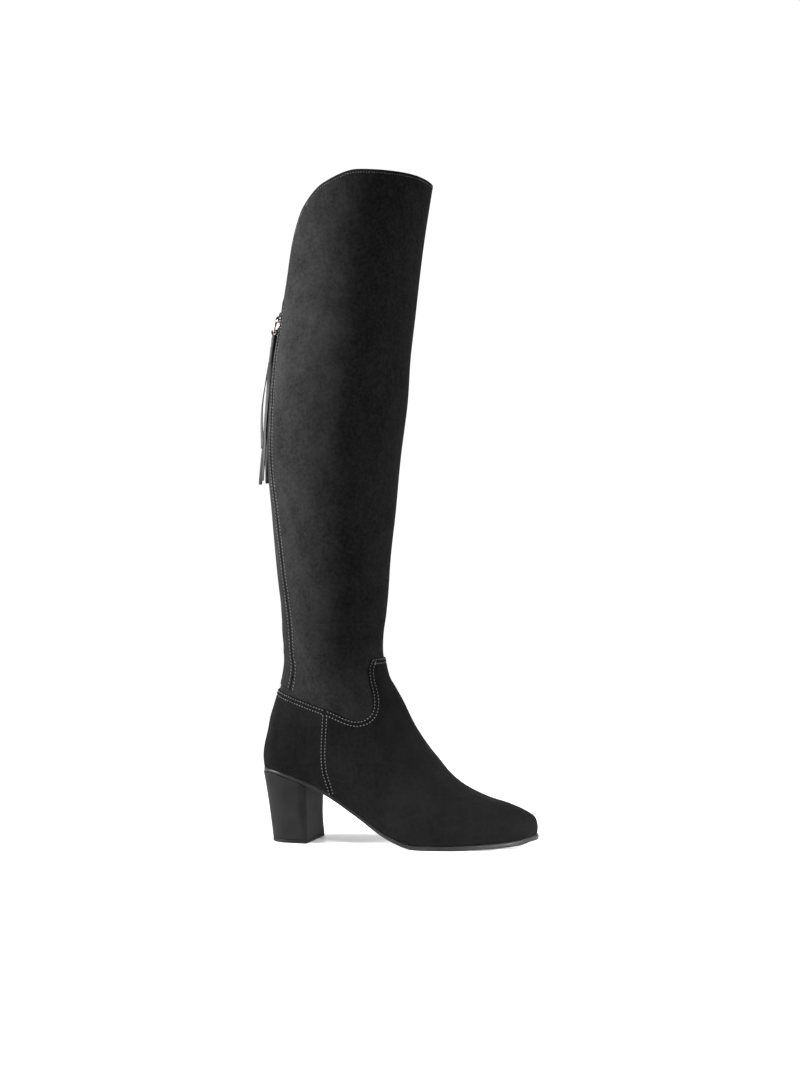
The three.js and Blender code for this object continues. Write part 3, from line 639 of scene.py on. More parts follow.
def set_inputs(node, values):
    for name, value in values.items():
        node.inputs[name].default_value = value
    return node


def noise(tree, where, scale, detail=4.0, rough=0.55, stretch=None):
    texture = set_inputs(tree.nodes.new("ShaderNodeTexNoise"),
                         {"Scale": scale, "Detail": detail, "Roughness": rough})
    if stretch:
        mapping = set_inputs(tree.nodes.new("ShaderNodeMapping"), {"Scale": stretch})
        tree.links.new(where, mapping.inputs["Vector"])
        where = mapping.outputs["Vector"]
    tree.links.new(where, texture.inputs["Vector"])
    return texture.outputs["Fac"]


def spread(tree, value, low, high, to_low, to_high):
    """Maps a range of a texture onto another range."""
    node = set_inputs(tree.nodes.new("ShaderNodeMapRange"),
                      {"From Min": low, "From Max": high, "To Min": to_low, "To Max": to_high})
    tree.links.new(value, node.inputs["Value"])
    return node.outputs["Result"]


def combine(tree, operation, a, b):
    node = tree.nodes.new("ShaderNodeMath")
    node.operation = operation
    tree.links.new(a, node.inputs[0])
    if isinstance(b, (int, float)):
        node.inputs[1].default_value = b
    else:
        tree.links.new(b, node.inputs[1])
    return node.outputs[0]


def blend_colour(tree, value, dark, light):
    node = tree.nodes.new("ShaderNodeMix")
    node.data_type = "RGBA"
    set_inputs(node, {"A": (*dark, 1), "B": (*light, 1)})
    tree.links.new(value, node.inputs["Factor"])
    return node.outputs["Result"]


def bump(tree, shader, height, strength, distance, under=None):
    node = set_inputs(tree.nodes.new("ShaderNodeBump"), {"Strength": strength, "Distance": distance})
    tree.links.new(height, node.inputs["Height"])
    if under is not None:
        tree.links.new(under, node.inputs["Normal"])
    tree.links.new(node.outputs["Normal"], shader.inputs["Normal"])
    return node.outputs["Normal"]


def suede_material(name, dark, light):
    """Suede: a fine speckle of nap, brushed patches and a broad mottle, with a soft bloom at the edges."""
    material, tree, shader, where = new_material(name)
    fine = noise(tree, where, 1100, 3, 0.7)
    grain = noise(tree, where, 380, 5, 0.75)
    patch = noise(tree, where, 62, 4, 0.62, (1, 1, 0.6))
    broad = noise(tree, where, 13, 3, 0.5, (1, 1, 0.6))
    speck = spread(tree, grain, 0.38, 0.64, 0, 1)
    brushed = spread(tree, patch, 0.35, 0.68, 0, 1)
    mottle = spread(tree, broad, 0.35, 0.65, 0, 1)
    mixed = combine(tree, "MULTIPLY", speck, 0.54)
    mixed = combine(tree, "ADD", mixed, combine(tree, "MULTIPLY", brushed, 0.27))
    mixed = combine(tree, "ADD", mixed, combine(tree, "MULTIPLY", mottle, 0.19))
    tree.links.new(blend_colour(tree, mixed, dark, light), shader.inputs["Base Color"])
    tree.links.new(spread(tree, brushed, 0, 1, 0.98, 0.86), shader.inputs["Roughness"])
    set_inputs(shader, {"Specular IOR Level": 0.025, "Sheen Weight": 0.009, "Sheen Roughness": 0.45,
                        "Sheen Tint": (0.80, 0.79, 0.80, 1)})
    coarse = bump(tree, shader, grain, 0.55, 0.0008)
    bump(tree, shader, fine, 0.35, 0.0002, coarse)
    return material


def leather_material(name, dark, light, rough, bump_strength, shine=0.4, scale=900):
    """Smooth leather: fine pores, faint scuffs that change the gloss, and a slight colour change."""
    material, tree, shader, where = new_material(name)
    pores = set_inputs(tree.nodes.new("ShaderNodeTexVoronoi"), {"Scale": scale})
    tree.links.new(where, pores.inputs["Vector"])
    soft = noise(tree, where, 60, 4)
    scuff = noise(tree, where, 260, 5, 0.7, (1, 1, 0.2))
    tree.links.new(blend_colour(tree, spread(tree, soft, 0.3, 0.7, 0, 1), dark, light),
              shader.inputs["Base Color"])
    tree.links.new(spread(tree, scuff, 0.35, 0.75, rough - 0.05, rough + 0.1), shader.inputs["Roughness"])
    shader.inputs["Specular IOR Level"].default_value = shine
    bump(tree, shader, pores.outputs["Distance"], bump_strength, 0.0001)
    return material


def thread_material():
    """Waxed thread: paler than the suede, with a twist along each stitch."""
    material, tree, shader, where = new_material("thread")
    twist = set_inputs(tree.nodes.new("ShaderNodeTexWave"), {"Scale": 900, "Distortion": 1.5})
    tree.links.new(where, twist.inputs["Vector"])
    tone = noise(tree, where, 320, 3)
    tree.links.new(blend_colour(tree, tone, (0.020, 0.020, 0.020), (0.072, 0.071, 0.070)),
              shader.inputs["Base Color"])
    set_inputs(shader, {"Roughness": 0.62, "Sheen Weight": 0.15})
    bump(tree, shader, twist.outputs["Fac"], 0.4, 0.0001)
    return material


def metal_material():
    """Polished pale rose gold, with faint rubbing marks."""
    material, tree, shader, where = new_material("rose_gold")
    rub = noise(tree, where, 900, 4, 0.6)
    tone = noise(tree, where, 160, 3)
    tree.links.new(blend_colour(tree, tone, (0.80, 0.62, 0.53), (0.90, 0.74, 0.66)),
                   shader.inputs["Base Color"])
    shader.inputs["Metallic"].default_value = 1.0
    tree.links.new(spread(tree, rub, 0.3, 0.7, 0.18, 0.30), shader.inputs["Roughness"])
    bump(tree, shader, rub, 0.05, 0.00005)
    return material


SHAFT_SUEDE = suede_material("shaft_suede", (0.0026, 0.0025, 0.0026), (0.0128, 0.0125, 0.0126))
# Painted shade: the foot's suede is the shaft's suede made less than half as light, because the foot gets
# less light than the shaft
SHADED_FOOT_SUEDE = suede_material("foot_suede_painted_shade", (0.0012, 0.0012, 0.0013), (0.0056, 0.0055, 0.0056))
LINING = leather_material("lining", (0.020, 0.019, 0.018), (0.032, 0.030, 0.029), 0.55, 0.25, scale=500)
HEEL_LEATHER = leather_material("heel_leather", [0.0085] * 3, [0.0130] * 3, 0.50, 0.12, 0.02)
SOLE_EDGE = leather_material("sole_edge", [0.007] * 3, [0.012] * 3, 0.40, 0.10, 0.12)
SOLE_UNDER = leather_material("sole_underside", [0.020] * 3, (0.034, 0.033, 0.032), 0.50, 0.30, scale=350)
TIP_RUBBER = leather_material("heel_tip", [0.005] * 3, [0.009] * 3, 0.60, 0.30, 0.08, 700)
INSOLE_BOARD = leather_material("insole_lining", (0.030, 0.028, 0.026), (0.046, 0.043, 0.040), 0.60, 0.30,
                                scale=420)
STRAP = leather_material("tassel_leather", [0.010] * 3, [0.019] * 3, 0.70, 0.35, 0.10, 800)
THREAD = thread_material()
METAL = metal_material()

# Stitches: small threads that dip into the material at both ends, all rows of a piece in one mesh


def stitches(name, lines, long_share=0.50, thick=0.36):
    """lines: for each row of stitches its points, the surface's normals there, the pitch and the slant."""
    points, faces = [], []
    sides, stations = 6, np.array([-1, -0.92, -0.7, -0.35, 0, 0.35, 0.7, 0.92, 1])
    circle = full_turn(sides)
    for line, normals, pitch, slant in lines:
        both = even_line(np.concatenate([line, normals], axis=1), pitch)
        middle, normal = (both[1:, :3] + both[:-1, :3]) / 2, (both[1:, 3:] + both[:-1, 3:]) / 2
        normal = unit(normal)
        along = unit(both[1:, :3] - both[:-1, :3])
        across = np.cross(normal, along)
        turned = along * math.cos(slant) + across * math.sin(slant)
        across = np.cross(normal, turned)
        for m, n, a, b in zip(middle, normal, turned, across):
            start = len(points)
            for t in stations:
                height = thick * (0.55 - 1.25 * t ** 4)
                size = thick * (0.35 if abs(t) == 1 else 1 - 0.35 * t ** 4)
                centre = m + a * t * pitch * long_share / 2 + n * height
                for c in circle:
                    points.append(centre + b * math.cos(c) * size + n * math.sin(c) * size * 0.8)
            count = len(stations)
            side = grid_faces(count, sides, start, wrap_columns=True)
            faces.extend(side.tolist())
            faces.append([start + k for k in range(sides)][::-1])
            faces.append([start + (count - 1) * sides + k for k in range(sides)])
    place(add_mesh(name, points, faces, [THREAD]), "trim_leather")


def seam_row(line, normals, side, distance):
    """A row beside a seam line: the seam moved sideways along the surface."""
    across = unit(np.cross(normals, unit(np.gradient(line, axis=0))))
    return line + across * side * distance


# Vamp and counter
ROW_NEAR, ROW_FAR = 1.3, 4.8   # millimetres from the ankle's seam
COUNTER_ROW = 1.8
SEAM_PITCH = 2.9
SEAM_GROOVE = 0.24             # how deep a row of stitches pulls the suede in
SIDE_GROOVE = 0.22
PUFF = 0.22                    # how far the suede swells between the two rows
panels = {"vamp": build_panel("vamp", 230, 84), "counter": build_panel("counter", 110, 66)}
for kind, panel in panels.items():
    thickness = OVERLAY * rounded(np.minimum(panel["from_top"], panel["from_side"] * 1.6), 0.9)
    puff = PUFF * trough(panel["from_top"], (ROW_NEAR + ROW_FAR) / 2, 1.0)
    for row in (ROW_NEAR, ROW_FAR):
        puff = puff - SEAM_GROOVE * trough(panel["from_top"], row, 0.55)
    puff = puff - SIDE_GROOVE * trough(panel["from_side"], COUNTER_ROW, 0.6)
    puff = puff + 0.10 * trough(panel["from_side"], 1.1, 0.5)
    fade = np.clip(panel["level"] / 0.03, 0, 1)
    out = CLEARANCE + thickness + puff * fade
    outer = surface(panel["level"], panel["angle"], out)
    inner = surface(panel["level"], panel["angle"], CLEARANCE * 0.4)
    points, faces = sheet_body(outer, inner)
    # The vamp and counter take the darker foot suede, whose colour holds painted shade
    place(add_mesh(f"{kind}_panel", points, faces, [SHADED_FOOT_SUEDE]), "suede", kind)

for kind, panel in panels.items():
    top, normals = panel["top_line"], panel["top_normals"]
    lines = []
    for distance in (ROW_NEAR, ROW_FAR):
        lines.append((seam_row(top, normals, -1, distance)[8:-8], normals[8:-8], SEAM_PITCH, 0.0))
    for sign, (line, side_normals) in zip((1, -1), panel["side_lines"]):
        row = seam_row(line, side_normals, sign, COUNTER_ROW)
        lines.append((row[4:-14], side_normals[4:-14], SEAM_PITCH, 0.0))
    stitches(f"{kind}_stitches", lines)

# Upper: the wall's outer face, its rounded collar edge and the lining inside, as one closed body
COLLAR_ROW = 1.9
COLLAR_PITCH = 2.3
COLLAR_GROOVE = 0.20
UPPER_AROUND = 216
FOLD_ROWS = 7
upper_angles = full_turn(UPPER_AROUND)
rim_levels = level_at(2.0, upper_angles)
rim = last_point(rim_levels, upper_angles)
rim_normals = normal_at(rim_levels, upper_angles)
rim_along = np.roll(rim, -1, axis=0) - np.roll(rim, 1, axis=0)
rim_up = unit(np.cross(rim_normals, rim_along))
rim_up = rim_up * np.sign((rim_up[:, 2:] + 1e-6))
collar_rows = np.array([0, 0.5, 1.0, 1.5, 1.9, 2.3, 2.7, 3.1, 3.6, 4.3, 5.2, 6.5, 8.5, 11])
outer_levels = np.concatenate([np.linspace(0, 0.98, 48), np.arange(1.0, 1.25, 0.005),
                               np.arange(1.25, 1.97, 0.0105), 2 - collar_rows[::-1] / SHAFT_RISE])
inner_levels = np.concatenate([np.linspace(0, 1, 30), np.linspace(1.02, 2, 50)])[::-1]


def wall_points(levels, out):
    level = level_at(levels[:, None] + 0 * upper_angles[None, :], upper_angles[None, :])
    angle = np.broadcast_to(upper_angles[None, :], level.shape)
    bare = last_point(level, angle)
    from_rim = distance_to(bare, even_line(closed(rim), 0.8))
    if out >= 0:
        out = out - COLLAR_GROOVE * trough(from_rim, COLLAR_ROW, 0.55) + 0.14 * trough(from_rim, 1.1, 0.8)
    return surface(level, angle, out)


outer_wall = wall_points(outer_levels, 0.0)
inner_wall = wall_points(inner_levels, -WALL)
rim_middle = (outer_wall[-1] + inner_wall[0]) / 2
rim_half = (outer_wall[-1] - inner_wall[0]) / 2
fold = []
for turn in np.linspace(0, np.pi, FOLD_ROWS + 2)[1:-1]:
    fold.append(rim_middle + rim_half * math.cos(turn) + rim_up * WALL / 2 * math.sin(turn))
wall = np.concatenate([outer_wall, np.stack(fold), inner_wall])
wall_faces = grid_faces(len(wall), UPPER_AROUND, wrap_columns=True, wrap_rows=True)
lining_start = (len(outer_levels) + FOLD_ROWS - 2) * UPPER_AROUND
wall_slots = (np.arange(len(wall_faces)) >= lining_start).astype(int)
upper = add_mesh("upper_suede", wall.reshape(-1, 3), wall_faces, [SHAFT_SUEDE, LINING], wall_slots)
place(upper, "suede", "upper")

collar_row = closed(rim - rim_up * COLLAR_ROW)
stitches("collar_stitches", [(collar_row, closed(rim_normals), COLLAR_PITCH, 0.0)], 0.56, 0.22)

# Back strip: its width follows the height, its lower edge the ankle's seam and its upper edge the collar
strip_half = curve(np.array([0.18, 0.29, 0.36, 0.43, 0.53, 0.65, 0.72, 0.78, 0.86]),
                   np.array([0.79, 0.82, 0.90, 0.98, 1.00, 1.00, 0.93, 0.78, 0.60]))


def strip_angle(level, u):
    """Angle at which a ring has the strip's y; u runs from -1 to 1, counterclockwise from above."""
    def short_of(turn):
        point = last_point(level, turn)
        return point[..., 1] > -u * strip_half(point[..., 2] / BOOT_HEIGHT) * STRIP_WIDTH / 2

    return halve(np.full(level.shape, -1.3), np.full(level.shape, 1.3), 24, short_of)


def strip_bottom(u):
    def below_seam(level):
        point = surface(level, strip_angle(level, u), CLEARANCE + STRIP, bare=True)
        return inside(below_ankle, point[..., 0], point[..., 2] - CLEARANCE)

    return halve(np.full(u.shape, 0.7), np.full(u.shape, 1.2), 22, below_seam)


STRIP_RISE = 340               # roughly, from its lower edge to the collar
STRIP_PITCH = 3.0
STRIP_ROWS = (-1.7, 1.8)       # from its edge: one row on the strip, one on the panel beside it
side_rows = np.array([0, 0.06, 0.18, 0.35, 0.6, 0.9, 1.25, 1.6, 1.95, 2.4, 3, 4, 5.5])
side_close = 1 - side_rows / (STRIP_WIDTH / 2)
strip_u = np.unique(np.concatenate([side_close, -side_close, np.linspace(-0.8, 0.8, 25)]))
bottom = strip_bottom(strip_u)
bottom_rows = np.array([0, 0.1, 0.3, 0.6, 1, 1.5, 2.2, 3, 4])
rows = np.concatenate([bottom_rows / STRIP_RISE, np.linspace(0.016, 1, 170)])
top = np.full(strip_u.shape, 1.73)
for _ in range(8):
    top = level_at(2.0, strip_angle(top, strip_u))
strip_level = bottom[None, :] + (top - bottom)[None, :] * rows[:, None]
strip_columns = np.broadcast_to(strip_u[None, :], strip_level.shape)
strip_turn = strip_angle(strip_level, strip_columns)
from_edge = np.minimum((1 - np.abs(strip_columns)) * STRIP_WIDTH / 2 * 0.9,
                       (strip_level - bottom[None, :]) * SHAFT_RISE)
from_top = (top[None, :] - strip_level) * SHAFT_RISE
strip_out = CLEARANCE * 0.5 + STRIP * rounded(from_edge, 0.8) - 0.16 * trough(from_edge, 1.6, 0.5)
strip_out = strip_out - COLLAR_GROOVE * trough(from_top, COLLAR_ROW, 0.55)
strip_out = strip_out + 0.10 * trough(from_top, 1.1, 0.8)
strip_out = strip_out * np.clip(0.35 + from_top / 1.2, 0, 1)
strip_outer = surface(strip_level, strip_turn, strip_out)
strip_inner = surface(strip_level, strip_turn, 0.05)
points, faces = sheet_body(strip_outer, strip_inner)
place(add_mesh("back_strip_suede", points, faces, [SHAFT_SUEDE]), "suede", "back_strip")

strip_lines = []
climb = np.linspace(0.012, 0.985, 500)
for edge, end in ((-1, 0), (1, -1)):
    for distance in STRIP_ROWS:
        u = np.full(climb.shape, edge * (1 + distance / (STRIP_WIDTH / 2) / 0.92))
        level = bottom[end] + (top[end] - bottom[end]) * climb
        turn = strip_angle(level, u)
        lift = CLEARANCE * 0.5 + STRIP - 0.1 if distance < 0 else 0.0
        strip_lines.append((surface(level, turn, lift), normal_at(level, turn), STRIP_PITCH, 0.35 * edge))
stitches("back_strip_stitches", strip_lines, 0.62, 0.22)


# Sole, insole, heel and tip: stacked rings, closed by a grid across


def plate(name, rings, materials, slots=None, across=14):
    """A body of stacked rings, whose top and bottom are closed by rows from one side to the other."""
    rings = np.asarray(rings)
    count, around = rings.shape[:2]
    points = [tuple(point) for point in rings.reshape(-1, 3)]
    faces = grid_faces(count, around, wrap_columns=True).tolist()
    kinds = [0] * len(faces)
    for start, flip, ring in ((0, True, rings[0]), ((count - 1) * around, False, rings[-1])):
        index = np.zeros((around // 2 + 1, across + 1), int)
        for i in range(around // 2 + 1):
            other = (around - i) % around
            for j in range(across + 1):
                if j == 0 or i in (0, around // 2):
                    index[i, j] = start + i
                elif j == across:
                    index[i, j] = start + other
                else:
                    index[i, j] = len(points)
                    points.append(tuple(lerp(ring[i], ring[other], j / across)))
        for i in range(around // 2):
            for j in range(across):
                corners = [index[i, j], index[i + 1, j], index[i + 1, j + 1], index[i, j + 1]]
                face = [int(c) for k, c in enumerate(corners) if c != corners[k - 1]]
                if len(face) > 2:
                    faces.append(face[::-1] if flip else face)
                    kinds.append(1 if flip else 2)
    used = [slots[kind] for kind in kinds] if slots else None
    return add_mesh(name, points, faces, materials, used)


SOLE_AROUND = 240
sole_angles = full_turn(SOLE_AROUND)
sole_angles = sole_angles - 0.12 * np.sin(2 * sole_angles)


def sole_ring(inset, up):
    zero = np.zeros(SOLE_AROUND)
    place_x = last_point(zero, sole_angles)[:, 0]
    margin = lerp(SEAT_MARGIN, SOLE_MARGIN, sole_full(along_foot(place_x)))
    ring = surface(zero, sole_angles, OVERLAY_OUT + margin - inset, bare=True)
    ring[:, 2] = under_sole(ring[:, 0]) + (sole_thickness(ring[:, 0]) - CLEARANCE) * up
    return ring


# The sole's edge from below: how far in, in millimetres, and the share of the thickness
sole_profile = [(6, 0.02), (2.2, 0.0), (0.9, 0.01), (0.5, 0.05), (0.2, 0.13), (0.03, 0.26), (0, 0.45),
                (0, 0.70), (0.08, 0.86), (0.35, 0.97), (0.9, 1.0), (3, 1.0)]
sole = plate("outsole_leather", [sole_ring(inset, up) for inset, up in sole_profile],
             [SOLE_EDGE, SOLE_UNDER], {0: 0, 1: 1, 2: 0}, 18)
place(sole, "sole_leather", "outsole")


def insole_ring(inset, up):
    zero = np.zeros(SOLE_AROUND)
    ring = surface(zero, sole_angles, -WALL - CLEARANCE - inset, bare=True)
    ring[:, 2] = feather_line(ring[:, 0]) + up
    return ring


insole_profile = [(0.3, 0), (0, 0.4), (0, INSOLE - 0.6), (0.4, INSOLE - 0.05), (1.5, INSOLE)]
insole = plate("insole_board", [insole_ring(inset, up) for inset, up in insole_profile], [INSOLE_BOARD])
place(insole, "insole_board", "insole")

HEEL_BACK = REAR_X - OVERLAY_OUT - SEAT_MARGIN / 2
HEEL_ARC = 40
HEEL_CORNER_STEPS = 10
HEEL_BREAST = 12
heel_turn = math.radians(HEEL_TURN)


def heel_outline(rear, front, width, corner):
    side = lerp(rear, front, 0.62)
    half = width / 2
    points = []
    for i in range(HEEL_ARC + 1):
        turn = math.pi / 2 * i / HEEL_ARC
        points.append((side - (side - rear) * math.cos(turn) ** 0.92, half * math.sin(turn) ** 0.92))
    for i in range(1, 5):
        points.append((lerp(side, front - corner, i / 5), half))
    for i in range(HEEL_CORNER_STEPS + 1):
        turn = math.pi / 2 * i / HEEL_CORNER_STEPS
        points.append((front - corner * (1 - math.sin(turn)), half - corner * (1 - math.cos(turn))))
    for i in range(1, HEEL_BREAST + 1):
        points.append((front, (half - corner) * (1 - i / HEEL_BREAST)))
    outline = [(x, -y) for x, y in points] + [(x, y) for x, y in points[1:-1][::-1]]
    x, y = np.array(outline).T
    c, s = math.cos(-heel_turn), math.sin(-heel_turn)
    return np.stack([x * c - y * s, x * s + y * c], axis=-1)


def heel_ring(up, inset=0.0):
    hollow = HEEL_HOLLOW * 4 * up * (1 - up)
    corner = HEEL_CORNER * lerp(0.25, 1, math.sin(math.pi / 2 * min(2 * up, 1)))
    rear = lerp(-HEEL_BOTTOM_LENGTH / 2, HEEL_BACK, up) + hollow + inset
    front = lerp(HEEL_BOTTOM_LENGTH / 2, HEEL_BACK + HEEL_TOP_LENGTH, up) - hollow - inset
    width = lerp(HEEL_BOTTOM_WIDTH, HEEL_TOP_WIDTH, up) - hollow - 2 * inset
    outline = heel_outline(rear, front, width, corner)
    top = heel_outline(HEEL_BACK, HEEL_BACK + HEEL_TOP_LENGTH, HEEL_TOP_WIDTH, HEEL_CORNER)
    z = lerp(HEEL_TIP + CLEARANCE * 0.3, under_sole(top[:, 0]) - CLEARANCE * 0.3, up)
    return np.column_stack([outline, z])


heel_rings = [heel_ring(0, 1.2), heel_ring(0, 0.35), heel_ring(0.004, 0.08)]
heel_rings += [heel_ring(up) for up in np.linspace(0.012, 0.985, 44)]
heel_rings += [heel_ring(0.995, 0.1), heel_ring(1, 0.4), heel_ring(1, 1.5)]
heel = plate("heel_block", heel_rings, [HEEL_LEATHER])
place(heel, "heel_leather", "heel")


def tip_ring(inset, z):
    outline = heel_outline(-HEEL_BOTTOM_LENGTH / 2 + inset, HEEL_BOTTOM_LENGTH / 2 - inset,
                           HEEL_BOTTOM_WIDTH - 2 * inset, HEEL_CORNER / 4)
    return np.column_stack([outline, np.full(len(outline), z)])


tip_profile = [(1.4, 0), (0.5, 0), (0.2, 0.12), (0.03, 0.35), (0, 0.6), (0, HEEL_TIP - 0.35),
               (0.12, HEEL_TIP - 0.08), (0.5, HEEL_TIP)]
tip = plate("heel_tip_rubber", [tip_ring(inset, z) for inset, z in tip_profile], [TIP_RUBBER])
place(tip, "heel_tip", "heel_tip")

# Ring, its keeper and the tassel


def back_at(z):
    return float(last_point(1 + (z - ANKLE_HEIGHT) / SHAFT_RISE, 0.0)[0]) - CLEARANCE - STRIP


EYE_HOLE = RING_WIRE / 2 + EYE_PLAY
EYE_OUTER = EYE_HOLE + KEEPER
RING_TOP_Z = BOOT_HEIGHT - COLLAR_DIP - KEEPER_DROP
RING_TOP_X = back_at(RING_TOP_Z) - CLEARANCE - EYE_OUTER
ring_tilt = math.radians(RING_TILT)


ring_top = np.array([RING_TOP_X, 0, RING_TOP_Z])
ring_down = np.array([-math.sin(ring_tilt), 0, -math.cos(ring_tilt)])
ring_bottom = ring_top + ring_down * (RING_DIAMETER - RING_WIRE)
ring_middle = (ring_top + ring_bottom) / 2
ring_across = np.array([0.0, 1.0, 0.0])
ring_through = np.cross(ring_down, ring_across)
RING_STEPS, WIRE_STEPS = 96, 24
ring_points = []
for turn in full_turn(RING_STEPS):
    way = ring_down * math.cos(turn) + ring_across * math.sin(turn)
    for wire in full_turn(WIRE_STEPS):
        reach = (RING_DIAMETER - RING_WIRE) / 2 + RING_WIRE / 2 * math.cos(wire)
        ring_points.append(ring_middle + way * reach + ring_through * RING_WIRE / 2 * math.sin(wire))
ring_faces = grid_faces(RING_STEPS, WIRE_STEPS, wrap_columns=True, wrap_rows=True)
metal_ring = add_mesh("metal_ring", ring_points, ring_faces, [METAL])
place(metal_ring, "ring_metal", "tassel_ring")


def strap(path, across, thick, wide, ends=0.35, sides=16):
    """A strap of rounded section along a path; across says which way its width lies at each point."""
    path, across = np.asarray(path), np.asarray(across)
    along = unit(np.gradient(path, axis=0))
    across = unit(across - along * (across * along).sum(1, keepdims=True))
    through = np.cross(along, across)
    circle = full_turn(sides)
    a, b = np.cos(circle), np.sin(circle)
    a, b = np.sign(a) * np.abs(a) ** 0.35, np.sign(b) * np.abs(b) ** 0.45
    count = len(path)
    size = np.ones(count)
    size[0] = size[-1] = 1 - ends
    half_wide = (np.asarray(wide) / 2 * size)[:, None, None]
    half_thick = (thick / 2 * size)[:, None, None]
    ring = (path[:, None, :] + across[:, None, :] * a[None, :, None] * half_wide
            + through[:, None, :] * b[None, :, None] * half_thick)
    return ring.reshape(-1, 3), lathe_faces(count, sides)


def joined(bodies):
    """One mesh's points and faces out of several bodies'."""
    points, faces = [], []
    for body_points, body_faces in bodies:
        start = len(points)
        points.extend(map(tuple, body_points))
        faces.extend([[start + int(k) for k in face] for face in body_faces])
    return points, faces


def eye_path(middle, tip):
    """A strap's way from the tip round the ring's wire and back to the tip."""
    way = math.atan2(tip[2] - middle[2], tip[0] - middle[0])
    reach = math.hypot(tip[2] - middle[2], tip[0] - middle[0])
    radius = (EYE_HOLE + EYE_OUTER) / 2
    start = math.asin(KEEPER / 2 / radius)
    flat = [(r, KEEPER / 2) for r in np.linspace(reach, radius * 1.15, 8)]
    turns = np.linspace(start, 2 * math.pi - start, 40)
    loop = [(radius * math.cos(t), radius * math.sin(t)) for t in turns]
    path = flat + loop + [(r, -KEEPER / 2) for r in np.linspace(radius * 1.15, reach, 8)]
    c, s = math.cos(way), math.sin(way)
    return [(middle[0] + u * c - v * s, 0, middle[2] + u * s + v * c) for u, v in path]


keeper_tip = (back_at(RING_TOP_Z + KEEPER_DROP) - CLEARANCE - KEEPER - 0.5, 0, RING_TOP_Z + KEEPER_DROP)
keeper_way = eye_path(ring_top, keeper_tip)
keeper_body = strap(keeper_way, [(0, 1, 0)] * len(keeper_way), KEEPER * 0.96, KEEPER_WIDTH)
place(add_mesh("keeper_strap", *keeper_body, [STRAP]), "trim_leather", "ring_keeper")

head_top = np.array([ring_bottom[0], 0, ring_bottom[2] - EYE_OUTER + KEEPER])
head_foot = head_top + np.array([-TASSEL_LEAN, 0, -HEAD_LENGTH])
head_way = unit(head_foot - head_top)
head_side = np.array([0.0, 1.0, 0.0])
head_front = np.cross(head_way, head_side)
HEAD_STEPS, HEAD_AROUND = 90, 32
WRAPS = 3
head_points = []
for i in range(HEAD_STEPS + 1):
    down = i / HEAD_STEPS
    for turn in full_turn(HEAD_AROUND):
        spiral = (down * WRAPS + turn / (2 * np.pi)) % 1
        lap = 0.22 * min(spiral / 0.06, 1) - 0.20 * max(spiral - 0.06, 0)
        cap = math.sqrt(max(1 - (1 - min(down / 0.05, (1 - down) / 0.03, 1)) ** 2, 0.12))
        reach = (HEAD_DIAMETER / 2 * 0.93 + lap) * cap
        head_points.append(head_top + head_way * HEAD_LENGTH * down
                           + head_side * reach * math.cos(turn) + head_front * reach * math.sin(turn))
head_body = (head_points, lathe_faces(HEAD_STEPS + 1, HEAD_AROUND))
neck = head_top + (head_foot - head_top) * 0.25
neck_way = eye_path(ring_bottom, neck)
bodies = [head_body, strap(neck_way, [(0, 1, 0)] * len(neck_way), KEEPER * 0.96, KEEPER_WIDTH)]
TASSEL_STRIPS = table("turn bow out side long twist", [
    [180, 0.65, 0.73, -0.20, 0.71, 60],
    [225, 0.05, 0.92, -0.10, 1.00, 40],
    [135, 0.43, 0.41, 0.20, 0.99, 150],
    [270, 0.30, 0.55, -0.60, 0.97, -60],
    [90, 0.35, 0.60, 0.70, 0.96, 60],
    [0, 0.36, 0.64, 0.15, 0.93, 30],
])
STRIP_ROOT = 0.55 * HEAD_DIAMETER / 2
for i in range(len(TASSEL_STRIPS["turn"])):
    row = {key: TASSEL_STRIPS[key][i] for key in TASSEL_STRIPS}
    turn = math.radians(row["turn"])
    start = head_foot + np.array([STRIP_ROOT * math.cos(turn), STRIP_ROOT * math.sin(turn), STRIP_THICK * 3])
    down = np.linspace(0, 1, 48)
    swing = TASSEL_SPREAD * (row["out"] * down ** 1.3 + row["bow"] * np.sin(np.pi * down) * 0.6)
    ripple = 0.35 * np.sin(down * (9 + 2 * i) + i) * down
    path = np.stack([start[0] - swing + ripple, start[1] + TASSEL_SPREAD * row["side"] * down,
                     start[2] - STRIP_LENGTH * row["long"] * down], axis=-1)
    facing = turn + math.radians(row["twist"]) * down
    across = np.stack([-np.sin(facing), np.cos(facing), 0 * down], axis=-1)
    wide = TASSEL_WIDTH * (1 - 0.08 * np.sin(down * 14 + i)) * np.clip(0.75 + down * 3, 0, 1)
    bodies.append(strap(path, across, STRIP_THICK * 0.9, wide, 0.15))
tassel = add_mesh("tassel_strips", *joined(bodies), [STRAP])
place(tassel, "trim_leather", "tassel")

# Floor, backdrop, light and camera


def stage_mesh(name, points, faces, material):
    obj = add_mesh(name, points, faces, [material])


def floor_material():
    """White paper that glows a little, more so away from the boot."""
    material, tree, shader, where = new_material("pale_floor")
    tone = noise(tree, where, 1.3, 2)
    tree.links.new(blend_colour(tree, tone, (0.90, 0.90, 0.905), (0.93, 0.93, 0.935)),
                   shader.inputs["Base Color"])
    set_inputs(shader, {"Roughness": 0.30, "Specular IOR Level": 0.35, "Emission Color": (1, 1, 1, 1)})
    away = tree.nodes.new("ShaderNodeVectorMath")
    away.operation = "LENGTH"
    tree.links.new(where, away.inputs[0])
    tree.links.new(spread(tree, away.outputs["Value"], 0.10, 0.90, 0.16, 0.52),
                   shader.inputs["Emission Strength"])
    return material


